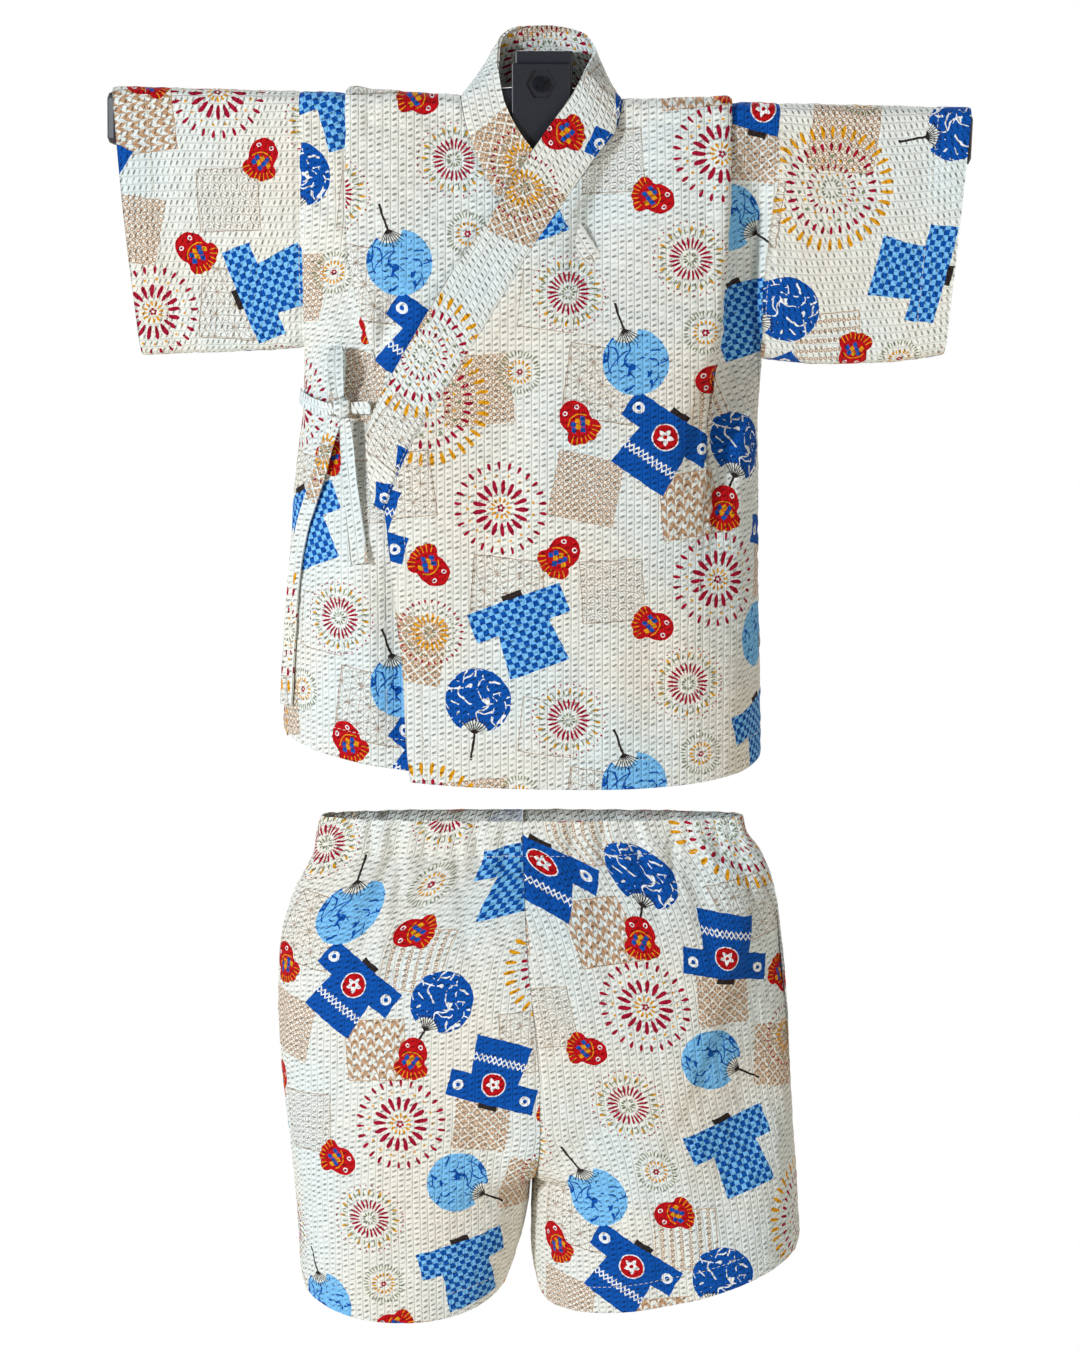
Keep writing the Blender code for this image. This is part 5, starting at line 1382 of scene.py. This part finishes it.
def draw_patches(add, x, y, kind, shown, under):
    """Squares of traditional patterns in two beige inks. x and y are in half widths of the square."""
    inside = both(add, rectangle(add, x, y, (0, 0), (1.0, 1.0)), shown)
    px, py = (add("Math MULTIPLY", part, PATCH_UNIT) for part in (x, y))
    place = add("CombineXYZ", px, py)
    masks = {}
    # 1, hemp leaf: a triangle grid and the middle line of every triangle.
    sides = []
    for angle in (90, 210, 330):
        way = (cos(radians(angle)) / 12.0, sin(radians(angle)) / 12.0, 0.0)
        sides.append(add("VectorMath DOT_PRODUCT", place, way))
    mask = 0.0
    pairs = [(side, 0.014) for side in sides] + [
        (add("Math SUBTRACT", sides[a], sides[b]), 0.024)
        for a, b in ((0, 1), (1, 2), (2, 0))
    ]
    for value, half in pairs:
        line = add("Math LESS_THAN", add("Math PINGPONG", value, 0.5), half)
        mask = add("Math MAXIMUM", line, mask)
    masks[1] = mask
    # 2, a lattice of lozenges with a flower in each. 3, a fine net of ringed dots.
    turned = add("VectorRotate", place, (0, 0, 0), (0, 0, 1), radians(45))
    tx, ty, _ = add("SeparateXYZ", turned).node.outputs
    for number, wide in ((2, 6.6), (3, 3.2)):
        cx, cy = cells(add, tx, wide), cells(add, ty, wide)
        cell = add("CombineXYZ", cx, cy)
        radius = add("VectorMath LENGTH", cell)
        if number == 2:
            ax, ay = (add("Math ABSOLUTE", part) for part in (cx, cy))
            far = add("Math MAXIMUM", ax, ay)
            tile = add("Math LESS_THAN", far, 0.4)
            cross = add("Math GREATER_THAN", add("Math MINIMUM", ax, ay), 0.045)
            near = add("Math GREATER_THAN", radius, 0.3)
            dot = add("Math LESS_THAN", radius, 0.07)
            cross = add("Math MAXIMUM", cross, near)
            masks[2] = both(add, tile, add("Math MAXIMUM", cross, dot))
        else:
            hole = add("Math GREATER_THAN", radius, 0.15)
            masks[3] = both(add, add("Math LESS_THAN", radius, 0.44), hole)
    # 4, rows of rings.
    ring = add("CombineXYZ", add("Math MULTIPLY", cells(add, px, 6.6), 6.6),
               add("Math MULTIPLY", cells(add, py, 3.3), 3.3))
    masks[4] = add("Math COMPARE", add("VectorMath LENGTH", ring), 1.05, 0.38)
    # 5, waves: nested arcs, each row half a scale along.
    row = add("Math MULTIPLY", py, 1 / 7.0)
    odd = add("Math MULTIPLY", add("Math FLOOR", row), 0.5)
    wx = centred(add, add("Math MULTIPLY_ADD", px, 1 / 14.0, odd))
    rise = add("Math FRACT", row)
    low = add("VectorMath LENGTH", add("CombineXYZ", wx, add("Math MULTIPLY", rise, 0.5)))
    beside = add("Math SUBTRACT", add("Math ABSOLUTE", wx), 0.5)
    high = add("VectorMath LENGTH", add("CombineXYZ", beside, add("Math MULTIPLY_ADD", rise, 0.5, 0.5)))
    pick = add("Math GREATER_THAN", low, 0.5)
    arc = add("Mix", pick, low, high, data_type="FLOAT")
    arc = add("Math PINGPONG", add("Math MULTIPLY", arc, 7.0), 0.5)
    masks[5] = add("Math LESS_THAN", arc, 0.11)
    # 6, arrow feathers.
    feather = add("Math MULTIPLY", px, 1 / 6.0)
    column = add("Math MULTIPLY", add("Math FLOOR", feather), 0.5)
    slope = add("Math MULTIPLY_ADD", add("Math ABSOLUTE", cells(add, px, 6.0)), 0.9, column)
    feather = add("Math MULTIPLY_ADD", py, 1 / 9.0, slope)
    masks[6] = add("Math LESS_THAN", add("Math FRACT", feather), 0.5)
    total = 0.0
    for number, mask in masks.items():
        total = add("Math MAXIMUM", both(add, mask, is_kind(add, kind, number)), total)
    # A thin line round the line patterns, and alone in kind 7.
    ax, ay = (add("Math ABSOLUTE", part) for part in (px, py))
    edge = add("Math COMPARE", add("Math MAXIMUM", ax, ay), PATCH_UNIT - 0.3, 0.3)
    filled = add("Math COMPARE", kind, 2.5, 0.6)
    edge = both(add, edge, add("Math SUBTRACT", 1.0, filled))
    total = both(add, add("Math MAXIMUM", edge, total), inside)
    lined = is_kind(add, kind, 1)
    for number in (5, 7):
        lined = add("Math MAXIMUM", lined, is_kind(add, kind, number))
    ink = add("Mix", lined, INKS["beige"], INKS["taupe"], data_type="RGBA")
    return paint(add, add("Math MULTIPLY", total, 0.9), under, ink)


def draw_print(add, cloth, bare):
    """The whole print: cloth lines in metres and the bare cloth's colour in, the printed colour out."""
    place = add("VectorMath MULTIPLY", cloth, (1000.0, 1000.0, 0.0))
    # The cloth was printed flat and then drew up unevenly, so edges wander by half a millimetre.
    wander = add("TexNoise", place, 0.16, 1.0, 0.5)
    noise = wander.node.outputs["Color"]
    wander = add("VectorMath SUBTRACT", noise, (0.5, 0.5, 0.5))
    place = add("VectorMath MULTIPLY_ADD", wander, (1.7, 1.7, 0.0), place)
    colour = bare
    for name, draw, motifs in (
        ("pattern squares", draw_patches, PATCHES), ("fireworks", draw_fireworks, FIREWORKS),
        ("festival coats", draw_coats, COATS), ("round fans", draw_fans, FANS),
        ("goldfish", draw_fish, FISH),
    ):
        lines = local_lines(add, place, motifs)
        colour = add("Group", lines, colour, node_tree=painted(name, draw))
    return colour


# ---- materials


def material(name, roughness, **sockets):
    """A new material with its constants on the shader's own sockets, and what adds and links nodes."""
    made = bpy.data.materials.new(name)
    made.use_nodes = True
    tree = made.node_tree
    shader = tree.nodes["Principled BSDF"]
    shader.inputs["Roughness"].default_value = roughness
    for title, value in sockets.items():
        shader.inputs[title].default_value = value

    def link(title, value):
        tree.links.new(value, shader.inputs[title])

    return made, partial(add_node, tree), link


def cotton_print(settings, name, show_through):
    """Woven seersucker cotton, printed: dull, faintly fuzzy at grazing light, bumpy all over.

    show_through is how much of the print the side shows: all on the right side, little on the wrong.
    """
    cotton = {"Sheen Weight": 0.02, "Sheen Roughness": 0.5, "Specular IOR Level": 0.12}
    made, add, link = material(name, 0.88, **cotton)
    cloth = add("UVMap", uv_map="cloth")
    cut_at = add("UVMap", uv_map="print")
    # Dye and daylight leave the ground a little cooler here and creamier there, over a hand's width.
    ground = add("TexNoise", cloth, 9.0, 1.5, 0.5)
    ground = add("MapRange", ground, 0.35, 0.65, 0.0, 1.0)
    bare = add("Mix", ground, (*settings.cream, 1), (*settings.cool, 1), data_type="RGBA")
    groups = bpy.data.node_groups
    printed = groups.get("festival print") or group(
        "festival print", {"Cloth": "Vector", "Bare": "Color"}, "Color", draw_print
    )
    colour = add("Group", cut_at, bare, node_tree=printed)
    # Puckers stretch the ink thin on their backs: yarn-scale mottling, drawn coarse enough to show.
    yarn = add("TexNoise", cloth, 1000.0 / settings.yarn_mm, 2.0, 0.7)
    fleck = add("MapRange", yarn, 0.35, 0.65, 0.93, 1.03)
    colour = add("Mix", 1.0 - show_through, colour, bare, data_type="RGBA")
    colour = add("VectorMath MULTIPLY", colour, fleck)
    rough = add("MapRange", yarn, 0.3, 0.7, 0.8, 0.92)
    link("Roughness", rough)
    weave = groups.get("ripple") or group("ripple", {"Cloth": "Vector"}, "Float", draw_ripple)
    ripple = add("Group", cloth, node_tree=weave)
    # Painted shade: the colour is darkened where the weave sinks, in its dents and the faint lines between
    # stripes, standing in for the shadow those hold.
    painted_dent_shade = add("Math MULTIPLY_ADD", ripple, 0.42, 0.6)
    colour = add("VectorMath MULTIPLY", colour, painted_dent_shade)
    link("Base Color", colour)
    height = add("Math MULTIPLY", ripple, PUFF)
    height = add("Math MULTIPLY_ADD", yarn, 0.00006, height)
    link("Normal", add("Bump", 1.0, 1.0, None, height))
    return made


def draw_ripple(add, cloth):
    """The ripple weave's height, up to 1: cloth lines in metres in. Puffs in stripes, cut by dents."""
    across, along, _ = add("SeparateXYZ", cloth).node.outputs
    place = add("Math MULTIPLY", across, 1 / STRIPE)
    stripe = add("Math FLOOR", place)
    off = centred(add, place)
    turn = add("Math MULTIPLY", stripe, STRIPE_TURN)
    start = add("Math MULTIPLY", add("Math SINE", turn), STRIPE_SHIFT)
    wander = add("Math MULTIPLY_ADD", along, WANDER_RATE, turn)
    start = add("Math MULTIPLY_ADD", add("Math SINE", wander), STRIPE_WANDER, start)
    start = add("Math MULTIPLY_ADD", off, -SLANT, start)
    dent = add("Math MULTIPLY_ADD", along, 1 / PUFF_LONG, start)
    dent = add("Math MULTIPLY", centred(add, dent), 1 / DENT_SHARE)
    dent = add("Math MULTIPLY", dent, dent)
    dent = add("Math EXPONENT", add("Math MULTIPLY", dent, -1.0))
    # The dents keep to the middle of their stripe, and a faint line runs between stripes.
    side = add("Math ABSOLUTE", add("Math MULTIPLY", off, 2.0))
    middle = add("MapRange", side, 0.28, 0.74, 1.0, 0.0)
    line = add("Math MULTIPLY", add("Math POWER", side, 4.0), 0.35)
    # No two dents are alike: this makes some long and deep and others hardly there.
    uneven = add("TexNoise", cloth, 190.0, 1.0, 0.5)
    uneven = add("MapRange", uneven, 0.36, 0.6, 0.35, 1.0)
    sunk = add("Math ADD", both(add, dent, uneven, middle), line)
    return add("Math SUBTRACT", 1.0, sunk)


def cotton_thread(settings):
    """Spun cotton thread: dull cream with a faint twist."""
    made, add, link = material("cotton_thread", 0.8, **{"Sheen Weight": 0.1})
    place = add("TexCoord").node.outputs["Object"]
    twist = add("TexWave", place, 1000.0 / 1.2, 2.0)
    colour = add("Mix", twist, linear("#D9D2BE"), linear("#EFEADB"), data_type="RGBA")
    link("Base Color", colour)
    return made


def moulded_plastic(settings):
    """Injection-moulded ABS, near-black with a blue cast: a fine spark-eroded grain dulls it."""
    made, add, link = material("abs_moulded_navy", 0.42, IOR=1.53)
    place = add("TexCoord").node.outputs["Object"]
    # The grain is about 0.15 mm; it is drawn at 0.6 mm so that it shows.
    grain = add("TexNoise", place, 1000.0 / 0.6, 2.0, 0.6)
    dust = add("TexNoise", place, 45.0, 3.0, 0.6)
    dust = add("MapRange", dust, 0.45, 0.75, 0.0, 0.35)
    colour = add("Mix", dust, (*settings.plastic, 1), (*settings.plastic_worn, 1), data_type="RGBA")
    link("Base Color", colour)
    link("Roughness", add("MapRange", grain, 0.3, 0.7, 0.36, 0.5))
    link("Normal", add("Bump", 0.15, 0.0002, None, grain))
    return made


def blackened_steel():
    """Chemically blackened steel: a dark metal with soft scratches."""
    made, add, link = material("steel_blackened", 0.38, Metallic=1.0)
    place = add("TexCoord").node.outputs["Object"]
    wear = add("TexNoise", place, 600.0, 3.0, 0.7)
    colour = add("Mix", wear, linear("#1B1D24"), linear("#3A3C42"), data_type="RGBA")
    link("Base Color", colour)
    link("Roughness", add("MapRange", wear, 0.3, 0.7, 0.3, 0.5))
    return made


def matt_paper(settings):
    """Uncoated background paper: flat white with barely any grain, burnt out to the lens alone."""
    made, add, link = material("paper_matt_white", 0.95)
    place = add("TexCoord").node.outputs["Object"]
    grain = add("TexNoise", place, 3.0, 2.0, 0.5)
    pale = (*settings.paper, 1)
    colour = add("Mix", add("MapRange", grain, 0.3, 0.7, 0.0, 0.04), pale, linear("#D8DADC"),
                 data_type="RGBA")
    link("Base Color", colour)
    nodes = made.node_tree.nodes
    lit = nodes["Principled BSDF"].outputs[0]
    seen = add("MixShader", add("LightPath"), lit, add("Emission"))
    made.node_tree.links.new(seen, nodes["Material Output"].inputs["Surface"])
    return made


# ---- pieces


def put(name, data):
    """A new object, linked to the scene."""
    made = bpy.data.objects.new(name, data)
    bpy.context.scene.collection.objects.link(made)
    return made


def keep(name, mesh, node, slot, *finishes):
    """A piece that stands for a solid of the frame and rides on its body."""
    piece = put(name, mesh)
    for finish in finishes:
        mesh.materials.append(finish)
    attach(piece, "root")
    if node:
        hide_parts(node)
    return piece


def finish_of(name, make, *values):
    return bpy.data.materials.get(name) or make(*values)


def cloth_finishes():
    settings = bpy.context.scene.jinbei_cloth
    return [
        finish_of("cotton_ripple_right", cotton_print, settings, "cotton_ripple_right", 1.0),
        finish_of("cotton_ripple_wrong", cotton_print, settings, "cotton_ripple_wrong", 0.3),
    ]


SHEETS = {}


def cut(name, sheet, held, rests_on=(), slot="cloth", doubled=False, **mesh):
    """Makes a sheet's piece, with its print taken from where it was cut. Doubled cloth has two right
    sides.
    """
    SHEETS[name] = sheet
    sheet.cut_at = [part / 1000 for part in CUT_AT[name]]
    right, wrong = cloth_finishes()
    finishes = (right, right) if doubled else (right, wrong)
    piece = keep(f"cloth_{name}", sheet.mesh(name, **mesh), name, slot, *finishes)
    wide, long, area = sheet.flat()
    return piece


def capsule():
    """A stitch: its points, as shares of its length and ways out of and along the cloth, and faces."""
    sides = STITCH_SIDES
    points = [(0.0, -THREAD * STITCH_END, 0.0)]
    for share, swell in STITCH_RINGS:
        for side in range(sides):
            angle, reach = 2 * pi * side / sides, THREAD * swell / 2
            out = THREAD * STITCH_PROUD * swell + reach * cos(angle)
            points.append((share, out, reach * sin(angle)))
    points.append((1.0, -THREAD * STITCH_END, 0.0))
    faces = []
    for side in range(sides):
        a, b = 1 + side, 1 + (side + 1) % sides
        faces.append((0, b, a))
        faces += [(a + ring, b + ring, b + ring + sides, a + ring + sides) for ring in (0, sides)]
        faces.append((a + 2 * sides, b + 2 * sides, len(points) - 1))
    return np.array(points), faces


def stitches(name, runs):
    """Rows of thread on the cloth: a small capsule for every stitch."""
    shape, skin = capsule()
    points, faces = [], []
    for line, normals in runs:
        run = run_up(np.linalg.norm(np.diff(line, axis=0), axis=1))
        for start in np.arange(STITCH_GAP, run[-1] - STITCH_LONG, STITCH_LONG + STITCH_GAP):
            first, last = (np.array([np.interp(at, run, line[:, axis]) for axis in range(3)])
                           for at in (start, start + STITCH_LONG))
            out = np.array([np.interp(start, run, normals[:, axis]) for axis in range(3)])
            along = (last - first) / (np.linalg.norm(last - first) + TINY)
            out = out - along * out.dot(along)
            out /= np.linalg.norm(out) + TINY
            faces += [[corner + len(points) for corner in face] for face in skin]
            points += list(first + shape @ np.array([last - first, out, np.cross(along, out)]))
    thread = finish_of("cotton_thread", cotton_thread, bpy.context.scene.jinbei_cloth)
    return keep(name, new_mesh(name, points, faces), None, "cloth", thread)


class JinbeiCloth(bpy.types.PropertyGroup):
    """Colours and the yarn of the cloth."""

    cream: bpy.props.FloatVectorProperty(
        name="Cream", description="Warm part of the bare cloth", subtype="COLOR",
        default=linear("#E9E7DA")[:3], min=0, max=1,
    )
    cool: bpy.props.FloatVectorProperty(
        name="Cool white", description="Cool part of the bare cloth", subtype="COLOR",
        default=linear("#DDE8E6")[:3], min=0, max=1,
    )
    yarn_mm: bpy.props.FloatProperty(
        name="Yarn", description="Width of the mottling along the yarns, in millimetres",
        default=1.1, min=0.2, max=4,
    )


class JinbeiHanger(bpy.types.PropertyGroup):
    """Colours of the hanger."""

    plastic: bpy.props.FloatVectorProperty(
        name="Plastic", description="Moulded plastic of the hanger", subtype="COLOR",
        default=linear("#10141F")[:3], min=0, max=1,
    )
    plastic_worn: bpy.props.FloatVectorProperty(
        name="Handled plastic", description="The same where it has been handled", subtype="COLOR",
        default=linear("#1C2130")[:3], min=0, max=1,
    )


class JinbeiStage(bpy.types.PropertyGroup):
    """The stage round the set."""

    paper: bpy.props.FloatVectorProperty(
        name="Paper", description="Background paper", subtype="COLOR",
        default=linear("#FAEEDE")[:3], min=0, max=1,
    )
    floor_below: bpy.props.FloatProperty(
        name="Floor below", description="From the lowest cloth to the floor", subtype="DISTANCE",
        default=0.22, min=0.0, max=2.0,
    )


class JINBEI_OT_body(bpy.types.Operator):
    """Makes the jacket's back and its two fronts"""

    bl_idname = "jinbei.body"
    bl_label = "Back and fronts"

    def execute(self, context):
        for name, grid, facing in (
            ("back", back_grid(), "back"),
            ("front_left", front_grid("outer", 1, TUCK_LEFT, OUTER_COLUMNS), "front"),
            ("front_right", front_grid("inner", -1, TUCK_RIGHT, INNER_COLUMNS), "front"),
        ):
            hems = [("bottom", HEM_WIDE)]
            seams = ["last"] if facing == "front" else ["first", "last"]
            if facing == "front":
                hems.append(("first", FRONT_HEM))
            sheet = Sheet(grid, facing, CLOTH, hems=hems, seams=seams, folds=FOLDS[name])
            cut(name, sheet, "hung", ["hanger_bar"], tight=(TUCK_ZONE,))
        return {"FINISHED"}


class JINBEI_OT_sleeves(bpy.types.Operator):
    """Makes the two sleeves"""

    bl_idname = "jinbei.sleeves"
    bl_label = "Sleeves"

    def execute(self, context):
        for name, side, table in (("sleeve_left", 1, SLEEVE_LEFT), ("sleeve_right", -1, SLEEVE_RIGHT)):
            sheet = Sheet(sleeve_grid(side, table), "round", CLOTH, hems=[("bottom", CUFF_HEM)],
                          under=["top"], folds=FOLDS[name], ripple=0.9)
            cut(name, sheet, "hung", ["hanger_bar"])
        return {"FINISHED"}


class JINBEI_OT_collar(bpy.types.Operator):
    """Makes the collar's double band"""

    bl_idname = "jinbei.collar"
    bl_label = "Collar"

    def execute(self, context):
        sheet = Sheet(collar_grid(COLLAR_COLUMNS), "front", COLLAR_CLOTH, seams=["first"], ripple=0.8)
        cut("collar", sheet, "hung", ["hanger_bar"], doubled=True, skip=2)
        return {"FINISHED"}


class JINBEI_OT_ties(bpy.types.Operator):
    """Makes the knot and every stretch of the two ties"""

    bl_idname = "jinbei.ties"
    bl_label = "Ties"

    def execute(self, context):
        for name, points in TIES.items():
            sheet = Sheet(tie_grid(points, TIE_COLUMNS), "front", TIE_CLOTH, ripple=0.7,
                          across=TIE_FINE_ACROSS, down=TIE_FINE_DOWN)
            cut(name, sheet, "draped", ["front_right"], slot="tie", doubled=True, skip=1)
        keep("cloth_tie_knot", knot_mesh(), "tie_knot", "tie", cloth_finishes()[0])
        return {"FINISHED"}


def knot_mesh():
    """A soft cushion of cloth, with the turns of the strip running slantwise over it."""
    place = np.array(hang(*on_body(KNOT.reach, KNOT.drop, KNOT.lift, "front")))
    high, low = np.meshgrid(
        np.linspace(0, pi, KNOT_RINGS), np.linspace(0, 2 * pi, KNOT_SIDES), indexing="ij"
    )
    ball = np.sin(high) * np.cos(low), np.sin(high) * np.sin(low), np.cos(high)
    x, y, z = (np.sign(part) * np.abs(part) ** KNOT_ROUND for part in ball)
    turns = 1 + sum(proud * np.sin(close * (z + x * slant)) for proud, close, slant in KNOT_TURNS)
    size = (KNOT.width / 2, KNOT_DEEP / 2, KNOT_TALL / 2)
    points = np.stack([part * half * turns for part, half in zip((x, y, z), size)], axis=2) + place
    index = np.arange(points[..., 0].size).reshape(points.shape[:2])
    index[:, -1] = index[:, 0]
    index[0], index[-1] = index[0, 0], index[-1, 0]
    faces = [[c for place, c in enumerate(face) if c not in face[:place]] for face in quads(index, False)]
    cloth = np.stack([points[..., 0], points[..., 2]], axis=2).reshape(-1, 2)
    bare = [part / 1000 for part in CUT_AT["tie_knot"]] - cloth[0]
    return new_mesh("tie_knot", points.reshape(-1, 3), faces, cloth=cloth, print=cloth + bare)


class JINBEI_OT_shorts(bpy.types.Operator):
    """Makes the four panels of the shorts"""

    bl_idname = "jinbei.shorts"
    bl_label = "Shorts"

    def execute(self, context):
        for table, side, hand in ((SHORTS_LEFT, 1, "left"), (SHORTS_RIGHT, -1, "right")):
            for face in ("front", "back"):
                name = f"shorts_{face}_{hand}"
                sheet = Sheet(shorts_grid(table, side, face), face, CLOTH,
                              hems=[("bottom", HEM_WIDE), ("top", CASING)], seams=["first", "last"],
                              folds=FOLDS[name] + puckers(side, face))
                cut(name, sheet, "gathered")
        return {"FINISHED"}


class JINBEI_OT_stitching(bpy.types.Operator):
    """Sews the rows of stitches that show"""

    bl_idname = "jinbei.stitching"
    bl_label = "Stitching"

    def execute(self, context):
        shorts = [name for name in SHEETS if name.startswith("shorts")]
        for title, rows in (
            ("stitching_jacket", STITCHED),
            ("stitching_shorts", [(name, *row) for name in shorts for row in STITCHED_SHORTS]),
        ):
            lift = THREAD * STITCH_LIFT
            stitches(title, [SHEETS[name].line(edge, distance, lift) for name, edge, distance in rows])
        return {"FINISHED"}


class JINBEI_OT_hanger(bpy.types.Operator):
    """Gives the hanger its moulded and metal finishes"""

    bl_idname = "jinbei.hanger"
    bl_label = "Hanger"

    def execute(self, context):
        plastic = finish_of("abs_moulded_navy", moulded_plastic, context.scene.jinbei_hanger)
        steel = finish_of("steel_blackened", blackened_steel)
        for name, finish in (("hanger_bar", plastic), ("hanger_housing", plastic),
                             ("hanger_plate", plastic), ("hanger_bolt", steel)):
            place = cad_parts[name].material_slots[0]
            place.link = "OBJECT"
            place.material = finish
        return {"FINISHED"}


class JINBEI_OT_stage(bpy.types.Operator):
    """Adds the paper sweep, the lights and the camera"""

    bl_idname = "jinbei.stage"
    bl_label = "Stage"

    def execute(self, context):
        settings = context.scene.jinbei_stage
        scene = context.scene
        floor = CAD_BOX[0][2] - settings.floor_below
        # A sweep of paper: floor, then a wide curve up into the wall.
        profile = [(y, floor) for y in np.linspace(SWEEP_FRONT, SWEEP_BEND, 12)]
        profile += [(SWEEP_BEND + SWEEP_CURVE * sin(a), floor + SWEEP_CURVE * (1 - cos(a)))
                    for a in np.linspace(0.1, pi / 2, 16)]
        wall = np.linspace(floor + SWEEP_CURVE + 0.2, floor + SWEEP_TOP, 6)
        profile += [(SWEEP_BEND + SWEEP_CURVE, z) for z in wall]
        wide = np.linspace(-SWEEP_HALF, SWEEP_HALF, 7)
        grid = np.array([[(x, y, z) for x in wide] for y, z in profile])
        index = np.arange(grid[..., 0].size).reshape(grid.shape[:2])
        mesh = new_mesh("paper_sweep", grid.reshape(-1, 3), quads(index, False))
        mesh.materials.append(matt_paper(settings))
        put("paper_sweep", mesh)
        middle = Vector((GARMENT_SHIFT, 0, CAMERA_LEVEL))
        for name, place, size, power, colour in LIGHTS:
            data = bpy.data.lights.new(name, "AREA")
            data.shape, data.size, data.energy = "DISK", size, power
            data.color = linear(colour)[:3]
            light = put(name, data)
            light.location = place
            light.rotation_euler = (middle - light.location).to_track_quat("-Z", "Y").to_euler()
        world = bpy.data.worlds.new("studio")
        scene.world = world
        world.use_nodes = True
        background = world.node_tree.nodes["Background"]
        background.inputs["Color"].default_value = linear("#F3F6FA")
        add = partial(add_node, world.node_tree)
        strength = add("MapRange", add("LightPath"), 0.0, 1.0, WORLD_LIGHT, WORLD_SEEN)
        world.node_tree.links.new(strength, background.inputs["Strength"])
        data = bpy.data.cameras.new("camera")
        data.sensor_fit, data.sensor_width = "HORIZONTAL", 36.0
        data.lens = data.sensor_width * CAMERA_FAR / CAMERA_SPAN
        camera = put("camera", data)
        pitch = radians(CAMERA_PITCH)
        camera.location = middle + Vector((0, -cos(pitch), sin(pitch))) * CAMERA_FAR
        camera.rotation_euler = (pi / 2 - pitch, 0, 0)
        scene.camera = camera
        # Inks keep their own colours on the page, as a printed catalogue shows them.
        scene.view_settings.view_transform = "Standard"
        return {"FINISHED"}


STEPS = (
    JINBEI_OT_body, JINBEI_OT_sleeves, JINBEI_OT_collar, JINBEI_OT_ties, JINBEI_OT_shorts,
    JINBEI_OT_stitching, JINBEI_OT_hanger, JINBEI_OT_stage,
)


class JINBEI_PT_panel(bpy.types.Panel):
    """Lists the steps that make the set"""

    bl_idname = "JINBEI_PT_panel"
    bl_label = "Jinbei set"
    bl_space_type = "VIEW_3D"
    bl_region_type = "UI"
    bl_category = "Jinbei"

    def draw(self, context):
        for group_name in ("jinbei_cloth", "jinbei_hanger", "jinbei_stage"):
            settings = getattr(context.scene, group_name)
            for title in settings.bl_rna.properties.keys():
                if title not in ("name", "rna_type"):
                    self.layout.prop(settings, title)
        for step in STEPS:
            self.layout.operator(step.bl_idname)


GROUPS = {"jinbei_cloth": JinbeiCloth, "jinbei_hanger": JinbeiHanger, "jinbei_stage": JinbeiStage}


def register():
    for kind in (*GROUPS.values(), *STEPS, JINBEI_PT_panel):
        bpy.utils.register_class(kind)
    for name, kind in GROUPS.items():
        setattr(bpy.types.Scene, name, bpy.props.PointerProperty(type=kind))


def unregister():
    for name in GROUPS:
        delattr(bpy.types.Scene, name)
    for kind in (JINBEI_PT_panel, *reversed(STEPS), *reversed(GROUPS.values())):
        bpy.utils.unregister_class(kind)


def main():
    register()
    for step in STEPS:
        area, name = step.bl_idname.split(".")
        getattr(getattr(bpy.ops, area), name)()


if __name__ == "__main__":
    main()
